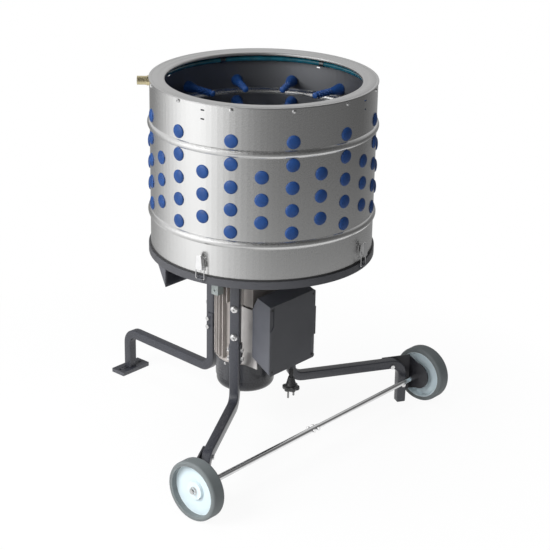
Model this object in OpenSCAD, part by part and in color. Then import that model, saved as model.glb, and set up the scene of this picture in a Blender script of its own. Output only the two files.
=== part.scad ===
// Drum poultry plucker on a three-legged wheeled stand.
// Millimetres, Z up, floor at Z = 0, origin under the middle of the footprint.

/* [Overall] */
// Height of the rim above the floor
overall_h = 860; // [800:5:1000]
// Turn of the drum on the stand, degrees
drum_turn = -3.5; // [-5:0.5:5]

/* [Drum] */
// Outside diameter of the drum wall
drum_d = 500; // [440:10:600]
// Height of the drum
drum_h = 380; // [360:5:480]
// Drum sheet thickness
wall_t = 1.5; // [1:0.1:2.5]
// Diameter of the opening inside the rim
mouth_d = 432; // [360:2:440]
// How far the two rolled beads stand out
bead_out = 5.5; // [3:0.5:7]

/* [Plucking fingers] */
// Columns of fingers round the drum, half of them long columns
finger_columns = 24; // [16:4:28]
// Vertical distance between fingers in one column
finger_pitch = 50; // [40:1:60]
// Length of a drum finger inside the wall
finger_len = 90; // [60:1:110]
// Diameter of the round finger head
head_d = 30; // [24:1:34]
// Length of a finger above the turning plate
plate_finger_len = 80; // [50:1:85]

/* [Tray and plate] */
// Outside diameter of the tray under the drum
tray_d = 510; // [450:10:612]
// Depth of the tray
tray_h = 17; // [14:1:30]
// Diameter of the turning feather plate
plate_d = 464; // [380:2:560]
// Thickness of the turning plate
plate_t = 4; // [3:0.5:6]
// Drop of the feather chute below the tray
chute_drop = 59; // [40:1:80]
// Width of the feather chute
chute_w = 85; // [60:1:88]

/* [Drive] */
// Distance from drum shaft to motor shaft
motor_off = 45; // [45:0.5:54]
// Radius over the motor cooling fins
motor_r = 74; // [70:1:82]
// Underside of the fan cowl above the floor
cowl_z = 108; // [95:1:140]
// Height of the fan cowl
cowl_h = 75; // [60:1:85]
// Diameter of the drum plate shaft
shaft_d = 25; // [20:1:28]

/* [Stand] */
// Side of the square leg tube
tube_s = 22; // [18:1:25]
// Distance from the motor axis to each upright
upright_r = 112; // [108:1:130]
// Reach of the foot leg from the motor axis
foot_reach = 414; // [380:1:460]
// Reach of each wheel leg from the motor axis
wheel_leg_reach = 400; // [380:1:420]
// Height of the level run of each leg
run_z = 106; // [90:1:120]
// Direction of the foot leg, degrees from the right wheel side
foot_dir = 87.5; // [85:0.5:95]
// Middle line radius of the tube bends
bend_r = 30; // [24:1:40]
// Length of the foot plate
foot_w = 90; // [70:1:120]

/* [Wheels] */
// Wheel diameter
wheel_d = 136; // [110:2:150]
// Tyre width
wheel_w = 34; // [28:1:40]
// How far each wheel's outer face stands out past its leg
wheel_out = 69.6; // [64:0.1:90]
// Axle diameter at the wheels
axle_d = 12; // [10:1:14]

/* [Control box] */
// Width of the front cover
box_w = 155; // [120:1:170]
// Height of the front cover
box_h = 170; // [150:2:180]
// Depth of the box
box_dep = 56; // [50:1:70]

/* [Hidden] */
$fn = 48;
run_fit = 0.05;

// heights, from the rim down
z_rim = overall_h;
z_drum = z_rim - drum_h;
z_ledge = z_drum - 2;
z_tray = z_ledge - tray_h;
sheet = 2;
mount_t = 10;
z_mount = z_tray - mount_t;
case_h = 50;
z_case = z_mount - case_h;
z_cowl1 = cowl_z + cowl_h;

// radii
r_drum = drum_d / 2;
r_in = r_drum - wall_t;
r_tray = tray_d / 2;
r_mouth = mouth_d / 2;
rim_t = 1.5;
screw_z = z_rim - 7.4;
inlet_z = z_rim - 13.4;
spray_r = r_drum - 18;
spray_z = z_rim - 19;
hose_r = 6;

// finger rows, measured down from the rim
row_top = z_rim - 74;
long_rows = [for (i = [0:4]) row_top - i * finger_pitch];
short_rows = [for (i = [0:2]) row_top - (i + 1.5) * finger_pitch];
long_cols = [for (i = [0:2:finger_columns - 1]) i * 360 / finger_columns];
short_cols = [for (i = [1:2:finger_columns - 1]) i * 360 / finger_columns];
head_t = 5;
neck_d = head_d * 0.66;
base_d = head_d * 0.9;
shaft_w = head_d * 0.5;
rib_w = head_d * 0.58;
rib_n = 6;

// rolled beads
bead_h = min(20, 2 * (finger_pitch * 0.48 - head_d / 2 - 0.3));
bead_rad = (pow(bead_h / 2, 2) + bead_out * bead_out) / (2 * bead_out);
bead_c = r_drum + bead_out - bead_rad;
bead_zs = [row_top - finger_pitch * 0.52, row_top - finger_pitch * 4.55];

// latches
latch_angles = [15, 105, 195, 285];
pivot_r = r_drum + 9.5;
pivot_z = z_drum + 18;
hook_z = z_ledge - 6;
lever_top = z_drum + 47;

// drive
gear_m = motor_off / 30;
gear_n = 48;
pinion_n = 12;
gear_r = gear_m * gear_n / 2;
pinion_r = gear_m * pinion_n / 2;
gear_z = z_case + 20;
gear_t = 15;
z_plate = z_drum + 4;
bear_r = shaft_d / 2 + 13.5;
bear_bolt_r = bear_r + 13;
plate_rings = [[plate_d * 0.155, 6], [plate_d * 0.235, 10], [plate_d * 0.31, 14]];

// motor
body_r = motor_r - 12;
bore_r = body_r - 8;
rotor_r = bore_r - 18;
fin_n = 36;
m_shaft_r = 8;
pin_shaft_r = pinion_r * 0.55;
cowl_r = motor_r - 4;
cavity_r = gear_r + gear_m + 2.5;
case_r = body_r;
flange_r = body_r + 9.5;
flange_bolt_r = flange_r - 4.6;
case_bolts = [35, 145, 215, 325];

// stand
leg_dirs = [foot_dir, 210, 330];
leg_reaches = [foot_reach, wheel_leg_reach, wheel_leg_reach];
foot_t = 10;
foot_dep = 42;
tube_t = 2;
mount_r = upright_r + tube_s / 2 + 14;
foot_x = foot_reach * cos(foot_dir);
foot_y = motor_off + foot_reach * sin(foot_dir);
chan_t = 3;
chan_z = 206;
low_bolt_z = [chan_z + 13, chan_z + 34];
high_bolt_z = [chan_z + 69.5, chan_z + 138.5];
chan_bolt_r = upright_r - 25;

// wheels
wheel_r = wheel_d / 2;
axle_z = wheel_r;
axle_r = axle_d / 2;
leg_end_x = wheel_leg_reach * cos(30);
leg_end_y = motor_off - wheel_leg_reach * sin(30);
axle_y = leg_end_y - 27;
face_x = leg_end_x + wheel_out;
plate_x = face_x - wheel_w - 3;
brk_t = 4;

// control box
box_front = -(motor_r - motor_off + 68);
box_back = box_front + box_dep - 3;
box_z = z_tray - 268;
box_zc = box_z + box_h / 2;
box_mid = box_z + box_h - 22;
// bracket that carries the box on the motor
brk_half = motor_r - 16;
brk_z0 = box_z + 31;
brk_z1 = box_z + 139;
flare_h = 30;
gland_x = -30;
gland_y = box_front + 37;
gland_z = box_z + 8;
plug_x = 21;
plug_y = box_front + 17;
plug_z = box_z - 19;
cord_r = 4;
// route of the short lead, measured from the lower front edge of the box
cord_route = [[-30, 37, 8], [-30, 37, 2], [-27, 36, -4], [-19, 33, -7], [-8, 28, -8], [4, 23, -7], [14,
    19, -8],
    [19, 17.5, -11], [21, 17, -15], [21, 17, -19]];

// the whole machine is moved along Y so the footprint is centred
y_far = foot_y + foot_dep / 2;
lev_out = pivot_r + 5.8;
y_near = max(wheel_r - axle_y, lev_out * cos(15 + drum_turn) + 12.4 * sin(15 + drum_turn));
drum_y = (y_near - y_far) / 2;

// colours
steel = [0.78, 0.78, 0.77];
bright = [0.88, 0.88, 0.88];
blue = [0.12, 0.27, 0.58];
dark = [0.27, 0.28, 0.31];
black = [0.07, 0.07, 0.08];
alu = [0.62, 0.6, 0.58];
galv = [0.68, 0.68, 0.68];
brass = [0.86, 0.8, 0.6];
teal = [0.08, 0.33, 0.42];
tyre_c = [0.4, 0.43, 0.43];
hub_c = [0.87, 0.92, 0.94];
zinc = [0.83, 0.83, 0.84];

// placing helpers
module placed() {
    translate([0, drum_y, 0]) children();
}
module on_drum(a) {
    placed() rotate([0, 0, drum_turn + a]) children();
}
module at_motor() {
    placed() translate([0, motor_off, 0]) children();
}
module ring(r0, r1, z0, z1, n = 96) {
    translate([0, 0, z0]) difference() {
        cylinder(r = r1, h = z1 - z0, $fn = n);
        translate([0, 0, -1]) cylinder(r = r0, h = z1 - z0 + 2, $fn = n);
    }
}
// box given by its two corners
module slab(x0, x1, y0, y1, z0, z1) {
    translate([x0, y0, z0]) cube([x1 - x0, y1 - y0, z1 - z0]);
}
module rod_x(r, x0, x1, y, z, n = 32) {
    translate([x0, y, z]) rotate([0, 90, 0]) cylinder(r = r, h = x1 - x0, $fn = n);
}
module rod_y(r, y0, y1, x, z, n = 32) {
    translate([x, y0, z]) rotate([-90, 0, 0]) cylinder(r = r, h = y1 - y0, $fn = n);
}
// side view (Y, Z) pushed along X
module side_plate(x0, x1, pts) {
    translate([x0, 0, 0]) rotate([90, 0, 90]) linear_extrude(height = x1 - x0) polygon(pts);
}

// drum
module bead_2d(z) {
    intersection() {
        difference() {
            translate([bead_c, z]) circle(r = bead_rad, $fn = 64);
            translate([bead_c, z]) circle(r = bead_rad - wall_t, $fn = 64);
        }
        translate([r_in, z - bead_h]) square([bead_out + wall_t + 1, bead_h * 2]);
    }
}
module drum_shell() {
    half = sqrt(pow(bead_rad - wall_t, 2) - pow(r_in - bead_c, 2));
    color(steel) difference() {
        placed() rotate_extrude($fn = 180) union() {
            difference() {
                translate([r_in, z_drum]) square([wall_t, drum_h - rim_t]);
                for (z = bead_zs) translate([r_in - 1, z - half]) square([wall_t + 2, half * 2]);
            }
            for (z = bead_zs) bead_2d(z);
        }
        for (a = long_cols) for (z = long_rows)
            on_drum(a) rod_x(neck_d / 2 + 0.1, r_in - 4, r_drum + 4, 0, z, 24);
        for (a = short_cols) for (z = short_rows)
            on_drum(a) rod_x(neck_d / 2 + 0.1, r_in - 4, r_drum + 4, 0, z, 24);
        for (a = [0:30:330]) on_drum(a) rod_x(2.6, r_in - 4, r_drum + 4, 0, screw_z, 16);
        for (a = latch_angles) for (dz = [15.5, 34.7])
            on_drum(a) slab(r_in - 4, r_drum + 4, -4.5, 4.5, z_rim - dz - 1.5, z_rim - dz + 1.5);
        on_drum(135) rod_x(6.6, r_in - 4, r_drum + 4, 0, inlet_z, 32);
    }
}
module rim_ring() {
    color(bright) difference() {
        placed() rotate_extrude($fn = 180) union() {
            translate([r_mouth, z_rim - rim_t]) square([r_drum + 1.8 - r_mouth, rim_t]);
            translate([r_mouth, z_rim - 8]) square([rim_t, 8]);
            translate([r_mouth + 12, z_rim - rim_t - 1]) square([1.5, 1.2]);
            translate([r_in - 1.6, z_rim - 12]) square([1.6, 12]);
            translate([r_drum, z_rim - 2.4]) square([1.8, 2.4]);
        }
        for (a = [0:30:330]) on_drum(a) rod_x(2.1, r_in - 5, r_in + 0.2, 0, screw_z, 16);
        on_drum(135) slab(r_in - 5, r_in + 0.1, -14, 14, z_rim - 20, z_rim - rim_t - 0.5);
    }
}
module rim_screws() {
    color(zinc) for (a = [0:30:330]) on_drum(a) {
        translate([r_drum, 0, screw_z]) rotate([0, 90, 0]) rotate_extrude($fn = 32)
            polygon([[0, -7], [2.05, -7], [2.05, 0], [4.8, 0], [4.6, 1], [3.4, 2.5], [1.5, 3.2], [1.3,
                2], [0, 2]]);
    }
}
module spray_ring() {
    color(teal) difference() {
        placed() rotate_extrude($fn = 120) translate([spray_r, spray_z]) difference() {
            circle(r = hose_r, $fn = 32);
            circle(r = hose_r - 2, $fn = 32);
        }
        for (a = [10:20:350]) on_drum(a) rod_x(1.2, spray_r - hose_r - 1, spray_r - 3, 0, spray_z, 16);
        on_drum(135) rod_x(3.7, spray_r, spray_r + hose_r + 1, 0, spray_z, 24);
    }
}
module spray_clips() {
    color(bright) for (a = [0:60:300]) on_drum(a + 10) union() {
        rotate([0, 0, -1.5]) rotate_extrude(angle = 3, $fn = 120) translate([spray_r, spray_z])
            difference() {
            circle(r = hose_r + 1.4, $fn = 32);
            circle(r = hose_r, $fn = 32);
        }
        slab(spray_r - 0.7, spray_r + 0.7, -5.5, 5.5, spray_z + hose_r + 0.7, z_rim - rim_t);
        slab(spray_r - 0.7, spray_r + 8, -5.5, 5.5, z_rim - rim_t - 1.4, z_rim - rim_t);
    }
}
module water_inlet() {
    color(brass) on_drum(135) difference() {
        union() {
            rod_x(9.8, r_drum + 5.9, r_drum + 27, 0, inlet_z, 48);
            rod_x(6.5, r_in - 7, r_drum + 6, 0, inlet_z, 48);
            translate([r_drum, 0, inlet_z]) rotate([0, 90, 0]) rotate(30)
                cylinder(r = 11.5, h = 6, $fn = 6);
            translate([r_in - 4.3, 0, inlet_z]) rotate([0, 90, 0]) cylinder(r = 10, h = 4, $fn = 6);
            translate([r_in - 4.7, 0, spray_z - 4]) cylinder(r = 3.8, h = inlet_z - spray_z + 4, $fn = 24);
            rod_x(3.6, spray_r + hose_r - 1.5, r_in - 5, 0, spray_z, 24);
        }
        rod_x(7.4, r_drum + 9, r_drum + 28, 0, inlet_z, 32);
        rod_x(3.5, r_in - 5, r_drum + 10, 0, inlet_z, 24);
    }
}
// a rubber finger: head outside, neck through a wall w thick, ribbed shaft inside
module finger(w, len) {
    pitch = (len - w - 44) / rib_n;
    r0 = shaft_w / 2;
    pts = concat(
        [[0, -head_t], [head_d * 0.34, -head_t], [head_d / 2, -head_t * 0.3], [head_d / 2, 0],
         [neck_d / 2, 0], [neck_d / 2, w], [base_d / 2, w], [base_d / 2, w + 5], [r0, w + 33]],
        [for (i = [0:rib_n - 1]) let (s = w + 36 + i * pitch, e = s + pitch * 0.45)
            for (p = [[r0, s], [rib_w / 2, s], [rib_w / 2, e], [r0, e]]) p],
        [[r0, len - 6], [r0 * 0.7, len], [0, len]]);
    rotate_extrude($fn = 32) polygon(pts);
}
drum_grip = r_drum - sqrt(r_in * r_in - base_d * base_d / 4) + 0.1;
module drum_fingers() {
    color(blue) for (set = [[long_cols, long_rows], [short_cols, short_rows]])
        for (a = set[0]) on_drum(a) union() for (z = set[1])
            translate([r_drum, 0, z]) rotate([0, -90, 0]) finger(drum_grip, finger_len);
}

// toggle latches
module latch_plates() {
    color(zinc) for (a = latch_angles) on_drum(a) difference() {
        union() {
            slab(r_drum - 2, r_drum + 2, -9, 9, pivot_z - 10, pivot_z + 24);
            for (s = [-1, 1]) translate([0, s * 8 - 1, 0]) union() {
                slab(r_drum - 1, pivot_r, 0, 2, pivot_z - 2.6, pivot_z + 2.6);
                rod_y(3.4, 0, 2, pivot_r, pivot_z, 32);
            }
            for (z = [pivot_z + 11, pivot_z + 19]) rod_x(2.5, r_drum, r_drum + 3.4, 0, z, 24);
        }
        cylinder(r = r_drum, h = z_rim, $fn = 180);
        rod_y(2 + run_fit, -12, 12, pivot_r, pivot_z, 32);
    }
}
module lever(a) {
    color(bright) on_drum(a) union() {
        rod_y(2, -11, 11, pivot_r, pivot_z, 32);
        difference() {
            union() {
                translate([pivot_r + 3.8, 0, 0]) rotate([90, 0, 90]) linear_extrude(height = 2)
                    polygon([[-12.4, pivot_z - 4], [12.4, pivot_z - 4], [12.4, pivot_z + 9], [8.5,
                        lever_top - 3],
                        [6.5, lever_top], [-6.5, lever_top], [-8.5, lever_top - 3], [-12.4, pivot_z + 9]]);
                for (s = [-1, 1]) translate([0, s * 11.4 - 1, 0]) union() {
                    slab(pivot_r - 3, pivot_r + 4.5, 0, 2, pivot_z - 3, pivot_z + 9);
                    rod_y(3.2, 0, 2, pivot_r, pivot_z, 32);
                }
            }
            rod_y(1.5 + run_fit, -20, 20, pivot_r - 0.4, pivot_z + 6, 32);
        }
    }
}
module lever_1() { lever(latch_angles[0]); }
module lever_2() { lever(latch_angles[1]); }
module lever_3() { lever(latch_angles[2]); }
module lever_4() { lever(latch_angles[3]); }
module bail(a) {
    color(bright) on_drum(a) union() {
        for (s = [-1, 1]) {
            translate([0, s * 12.5 - 2, 0]) rod_y(1.5, 0, 4, pivot_r - 0.4, pivot_z + 6, 32);
            translate([pivot_r - 0.4, s * 14.5, pivot_z + 6]) sphere(r = 1.5, $fn = 24);
            translate([pivot_r - 0.4, s * 14.5, hook_z])
                cylinder(r = 1.5, h = pivot_z + 6 - hook_z, $fn = 24);
            translate([pivot_r - 0.4, s * 14.5, hook_z]) sphere(r = 1.5, $fn = 24);
        }
        rod_y(1.5, -14.5, 14.5, pivot_r - 0.4, hook_z, 24);
    }
}
module bail_1() { bail(latch_angles[0]); }
module bail_2() { bail(latch_angles[1]); }
module bail_3() { bail(latch_angles[2]); }
module bail_4() { bail(latch_angles[3]); }
module latch_keepers() {
    color(zinc) for (a = latch_angles) on_drum(a) difference() {
        union() {
            slab(r_tray - 2, r_tray + 1.6, -9, 9, z_tray + 2, z_ledge - 1);
            slab(r_tray - 2, pivot_r + 3, -8, 8, hook_z + 1.55, hook_z + 3.6);
            for (s = [-1, 1]) translate([r_tray + 1, s * 5.5, z_tray + 5.5]) sphere(r = 2.4, $fn = 24);
        }
        cylinder(r = r_tray, h = z_rim, $fn = 180);
    }
}

// tray, seal and chute
chute_x0 = -(r_tray - 35);
chute_y0 = 88;
chute_run = chute_drop * 0.46;
module base_tray() {
    color(dark) difference() {
        placed() rotate_extrude($fn = 180) union() {
            translate([0, z_tray]) square([r_tray, sheet]);
            translate([r_tray - sheet, z_tray]) square([sheet, tray_h]);
            translate([r_in - 2, z_ledge - sheet]) square([r_tray - r_in + 2, sheet]);
        }
        placed() translate([0, 0, z_tray - 1]) cylinder(r = bear_r + 7.1, h = 5, $fn = 96);
        placed() slab(chute_x0 + 5, chute_x0 + chute_w - 5, chute_y0 + 3, chute_y0 + chute_run - 4,
            z_tray - 1, z_tray + 3);
        for (a = [0:60:300]) placed() rotate([0, 0, a + 30]) translate([bear_bolt_r, 0, z_tray - 1])
            cylinder(r = 3.1, h = 5, $fn = 24);
    }
}
module drum_seal() {
    color(black) placed() rotate_extrude($fn = 180) difference() {
        translate([r_in - 1.5, z_ledge]) square([5, 3]);
        translate([r_in, z_drum]) square([wall_t, 3]);
    }
}
module feather_chute() {
    x1 = chute_x0 + chute_w;
    color(dark) placed() union() {
        for (x = [chute_x0, x1 - sheet])
            side_plate(x, x + sheet, [[chute_y0, z_tray], [chute_y0 + chute_run, z_tray], [chute_y0,
                z_tray - chute_drop]]);
        side_plate(chute_x0, x1, [[chute_y0 + chute_run - 2.4, z_tray], [chute_y0 + chute_run, z_tray],
            [chute_y0, z_tray - chute_drop], [chute_y0, z_tray - chute_drop + 5.2]]);
        slab(chute_x0, x1, chute_y0 + chute_run - 1, chute_y0 + chute_run + 8, z_tray - sheet, z_tray);
        slab(chute_x0, chute_x0 + 6, chute_y0, chute_y0 + sheet, z_tray - chute_drop + 5, z_tray);
        slab(x1 - 6, x1, chute_y0, chute_y0 + sheet, z_tray - chute_drop + 5, z_tray);
        slab(chute_x0, x1, chute_y0, chute_y0 + sheet, z_tray - 6, z_tray);
    }
}
module mount_plate() {
    color(dark) difference() {
        at_motor() translate([0, 0, z_mount]) cylinder(r = mount_r, h = mount_t, $fn = 120);
        placed() translate([0, 0, z_mount - 1]) cylinder(r = bear_r + 7, h = mount_t + 2, $fn = 96);
        for (a = [0:60:300]) placed() rotate([0, 0, a + 30]) translate([bear_bolt_r, 0, z_mount - 1])
            cylinder(r = 3.05, h = mount_t + 2, $fn = 24);
        for (a = leg_dirs) at_motor() rotate([0, 0, a]) translate([chan_bolt_r, 0, z_mount - 1])
            cylinder(r = 4.05, h = mount_t, $fn = 24);
        for (a = case_bolts) at_motor() rotate([0, 0, a]) translate([case_r + 6, 0, z_mount - 1])
            cylinder(r = 3.05, h = mount_t, $fn = 24);
    }
}

// bolts of the drive
// hex bolt along +Z from z, head below
module hex_bolt(r, len, head) {
    translate([0, 0, -head]) cylinder(r = r * 1.9, h = head, $fn = 6);
    cylinder(r = r, h = len, $fn = 24);
}
module drive_bolts() {
    color(zinc) {
        for (a = [0:60:300]) placed() rotate([0, 0, a + 30]) translate([bear_bolt_r, 0, z_tray + sheet + 5])
            mirror([0, 0, 1]) hex_bolt(3, 16, 4);
        for (a = case_bolts) at_motor() rotate([0, 0, a]) translate([case_r + 6, 0, z_mount - 7])
            hex_bolt(3, 15, 4);
        for (a = leg_dirs) at_motor() rotate([0, 0, a]) translate([chan_bolt_r, 0, z_mount - 3])
            hex_bolt(4, 11, 5);
        for (a = [45:90:315]) at_motor() rotate([0, 0, a]) translate([flange_bolt_r, 0, z_case - 7])
            hex_bolt(2.5, 13, 3.5);
    }
}
module gear_case() {
    color(alu) difference() {
        union() {
            placed() translate([0, 0, z_case]) cylinder(r = cavity_r + 5, h = case_h, $fn = 96);
            at_motor() translate([0, 0, z_case]) cylinder(r = case_r, h = case_h, $fn = 96);
            at_motor() translate([0, 0, z_case]) cylinder(r = flange_r, h = 8, $fn = 96);
            at_motor() translate([0, 0, z_mount - 7]) cylinder(r = case_r + 12, h = 7, $fn = 96);
        }
        placed() translate([0, 0, z_case + 6]) cylinder(r = cavity_r, h = case_h, $fn = 96);
        at_motor() translate([0, 0, z_case + 6]) cylinder(r = pinion_r + gear_m + 4, h = case_h, $fn = 64);
        at_motor() translate([0, 0, z_case - 1]) cylinder(r = m_shaft_r + run_fit, h = 10, $fn = 48);
        for (a = case_bolts) at_motor() rotate([0, 0, a]) translate([case_r + 6, 0, z_mount - 9])
            cylinder(r = 3.05, h = 11, $fn = 24);
        for (a = case_bolts) at_motor() rotate([0, 0, a]) translate([case_r + 6, 0, z_case + 8])
            cylinder(r = 7, h = case_h - 15, $fn = 32);
        for (a = [45:90:315]) at_motor() rotate([0, 0, a]) translate([flange_bolt_r, 0, z_case - 1])
            cylinder(r = 2.55, h = 8, $fn = 24);
    }
}

// turning plate and its drive
hub_bolts = [0, 90, 180, 270];
module feather_plate() {
    color(steel) placed() difference() {
        union() {
            translate([0, 0, z_plate]) cylinder(r = plate_d / 2, h = plate_t, $fn = 144);
            ring(plate_d / 2 - 3, plate_d / 2, z_plate - 6, z_plate + 1, 144);
        }
        translate([0, 0, z_plate - 1]) cylinder(r = 10.02, h = plate_t + 2, $fn = 48);
        for (a = hub_bolts) rotate([0, 0, a + 45]) translate([33, 0, z_plate - 1])
            cylinder(r = 3.05, h = plate_t + 2, $fn = 24);
        for (g = plate_rings) for (i = [0:g[1] - 1])
            rotate([0, 0, i * 360 / g[1]]) translate([g[0], 0, z_plate - 1])
                cylinder(r = neck_d / 2 + 0.1, h = plate_t + 2, $fn = 24);
    }
}
module plate_fingers() {
    color(blue) placed() for (g = plate_rings) for (i = [0:g[1] - 1])
        rotate([0, 0, i * 360 / g[1]]) translate([g[0], 0, z_plate])
            finger(plate_t, plate_finger_len + plate_t);
}
module plate_shaft() {
    sr = shaft_d / 2 - run_fit;
    color(steel) placed() difference() {
        union() {
            translate([0, 0, z_case + 8]) cylinder(r = sr, h = z_plate - z_case - 9, $fn = 48);
            translate([0, 0, z_tray + 13.5])
                cylinder(r = shaft_d * 0.8, h = z_plate - z_tray - 13.5, $fn = 48);
            translate([0, 0, z_plate - 6]) cylinder(r = 45, h = 6, $fn = 72);
            translate([0, 0, z_plate - 1]) cylinder(r = 10, h = plate_t + 21, $fn = 48);
        }
        for (a = hub_bolts) rotate([0, 0, a + 45]) translate([33, 0, z_plate - 7])
            cylinder(r = 3.05, h = 8, $fn = 24);
        slab(-4, 4, shaft_d / 2 - 3.5, shaft_d / 2 + 1, gear_z - 6, gear_z + gear_t + 1);
    }
}
module plate_nuts() {
    zt = z_plate + plate_t;
    color(zinc) placed() {
        difference() {
            union() {
                translate([0, 0, zt]) cylinder(r = 22, h = 2.5, $fn = 48);
                translate([0, 0, zt + 2.5]) cylinder(r = 17, h = 13, $fn = 6);
                intersection() {
                    translate([0, 0, zt + 15]) sphere(r = 14, $fn = 48);
                    translate([0, 0, zt + 15]) cylinder(r = 15, h = 15, $fn = 48);
                }
            }
            translate([0, 0, zt - 1]) cylinder(r = 10.02, h = 22, $fn = 48);
        }
        for (a = hub_bolts) rotate([0, 0, a + 45]) translate([33, 0, zt]) mirror([0, 0, 1])
            hex_bolt(3, plate_t + 5, 4);
    }
}
// toothed wheel outline with straight flanks
module toothed(n, m, t, turn) {
    r = n * m / 2;
    h = 83 / n;
    pts = [for (i = [0:n - 1]) for (p = [[-1.35, r - 1.2 * m], [-0.55, r + 0.95 * m], [0.55,
        r + 0.95 * m], [1.35, r - 1.2 * m]])
        [p[1] * cos(i * 360 / n + turn + p[0] * h), p[1] * sin(i * 360 / n + turn + p[0] * h)]];
    linear_extrude(height = t) polygon(pts);
}
module drive_gear() {
    color(steel) placed() difference() {
        union() {
            translate([0, 0, gear_z]) toothed(gear_n, gear_m, gear_t, 90);
            translate([0, 0, gear_z - 6]) cylinder(r = shaft_d * 0.88, h = 7, $fn = 48);
        }
        difference() {
            translate([0, 0, gear_z - 7]) cylinder(r = shaft_d / 2 - run_fit, h = gear_t + 9, $fn = 48);
            slab(-4, 4, shaft_d / 2 - 3.5, shaft_d / 2 + 1, gear_z - 6, gear_z + gear_t);
        }
        for (a = [30:60:330]) rotate([0, 0, a]) translate([gear_r * 0.75, 0, gear_z - 1])
            cylinder(r = gear_r * 0.13, h = gear_t + 2, $fn = 32);
    }
}
module bearing_housing() {
    color(alu) placed() difference() {
        union() {
            translate([0, 0, z_mount - 10]) cylinder(r = bear_r + 7, h = z_tray - z_mount + 23, $fn = 96);
            translate([0, 0, z_tray + sheet]) cylinder(r = bear_r + 18, h = 5, $fn = 96);
        }
        translate([0, 0, z_mount - 8]) cylinder(r = bear_r, h = z_tray - z_mount + 30, $fn = 96);
        translate([0, 0, z_mount - 11]) cylinder(r = shaft_d / 2 + 3, h = 10, $fn = 48);
        for (a = [0:60:300]) rotate([0, 0, a + 30]) translate([bear_bolt_r, 0, z_tray])
            cylinder(r = 3.05, h = 10, $fn = 24);
    }
}
module bearings() {
    br = shaft_d / 2;
    mid = (br + bear_r) / 2;
    ball = (bear_r - br) * 0.29;
    color(bright) placed() for (z = [z_mount - 8, z_mount + 7.5]) {
        difference() {
            union() {
                ring(br, br + (bear_r - br) * 0.3, z, z + 15);
                ring(bear_r - (bear_r - br) * 0.3, bear_r, z, z + 15);
            }
            rotate_extrude($fn = 96) translate([mid, z + 7.5]) circle(r = ball, $fn = 32);
        }
        for (i = [0:8]) rotate([0, 0, i * 40]) translate([mid, 0, z + 7.5])
            sphere(r = ball - 0.01, $fn = 32);
    }
}

// motor
module motor_housing() {
    z0 = z_cowl1;
    color(alu) at_motor() difference() {
        union() {
            translate([0, 0, z0 - 8]) cylinder(r = cowl_r - 1.5, h = 16, $fn = 96);
            translate([0, 0, z0]) cylinder(r = body_r, h = z_case - z0, $fn = 96);
            translate([0, 0, z_case - 7]) cylinder(r = flange_r, h = 7, $fn = 96);
            difference() {
                for (i = [0:fin_n - 1]) rotate([0, 0, (i + 0.5) * 360 / fin_n])
                    slab(body_r - 2, motor_r, -1.3, 1.3, z0 + 7, z_case - 14);
                for (s = [-1, 1]) mirror([s > 0 ? 0 : 1, 0, 0])
                    slab(brk_half - 0.5, motor_r + 1, -motor_r, 0, z0, brk_z1 + 2);
            }
            for (s = [-1, 1]) mirror([s > 0 ? 0 : 1, 0, 0])
                slab(brk_half - 6, brk_half, -43, -19, brk_z0, brk_z1);
            // plain pad above the bracket
            slab(-brk_half, brk_half, -motor_r, -body_r / 2, brk_z1 + 3, z_case - 12);
        }
        translate([0, 0, z0 + 8]) cylinder(r = bore_r, h = z_case - z0, $fn = 96);
        translate([0, 0, z0 - 9]) cylinder(r = m_shaft_r + run_fit, h = 20, $fn = 48);
        for (a = [45:90:315]) rotate([0, 0, a]) translate([flange_bolt_r, 0, z_case - 8])
            cylinder(r = 2.55, h = 9, $fn = 24);
        for (a = [0:90:270]) rotate([0, 0, a]) rod_x(1.95, cowl_r - 9, cowl_r, 0, z0 - 4, 16);
    }
}
module stator() {
    z0 = z_cowl1 + 38;
    z1 = z_case - 34;
    color([0.45, 0.3, 0.18]) at_motor() union() {
        ring(rotor_r + 0.5, bore_r, z0, z1);
        for (z = [z0, z1]) translate([0, 0, z]) rotate_extrude($fn = 96) translate([rotor_r + 10, 0])
            circle(r = 7, $fn = 32);
    }
}
module rotor() {
    color(steel) at_motor() union() {
        translate([0, 0, z_cowl1 + 38]) cylinder(r = rotor_r, h = z_case - z_cowl1 - 72, $fn = 96);
        translate([0, 0, z_cowl1 - 36]) cylinder(r = m_shaft_r, h = z_case + 14 - z_cowl1 + 36, $fn = 48);
        translate([0, 0, z_case + 10])
            cylinder(r = pin_shaft_r, h = gear_z + gear_t - z_case - 9, $fn = 48);
    }
}
module pinion() {
    color(steel) at_motor() difference() {
        translate([0, 0, gear_z - 2]) toothed(pinion_n, gear_m, gear_t + 4, 270 + 15);
        translate([0, 0, gear_z - 3]) cylinder(r = pin_shaft_r, h = gear_t + 8, $fn = 48);
    }
}
module cooling_fan() {
    fr = cowl_r - 12;
    color(black) at_motor() difference() {
        union() {
            translate([0, 0, z_cowl1 - 34]) cylinder(r = 15, h = 22, $fn = 48);
            translate([0, 0, z_cowl1 - 14]) cylinder(r = fr, h = 2.5, $fn = 96);
            for (i = [0:7]) rotate([0, 0, i * 45]) slab(12, fr, -1.2, 1.2, z_cowl1 - 34, z_cowl1 - 13);
        }
        translate([0, 0, z_cowl1 - 40]) cylinder(r = m_shaft_r, h = 40, $fn = 48);
    }
}
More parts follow.
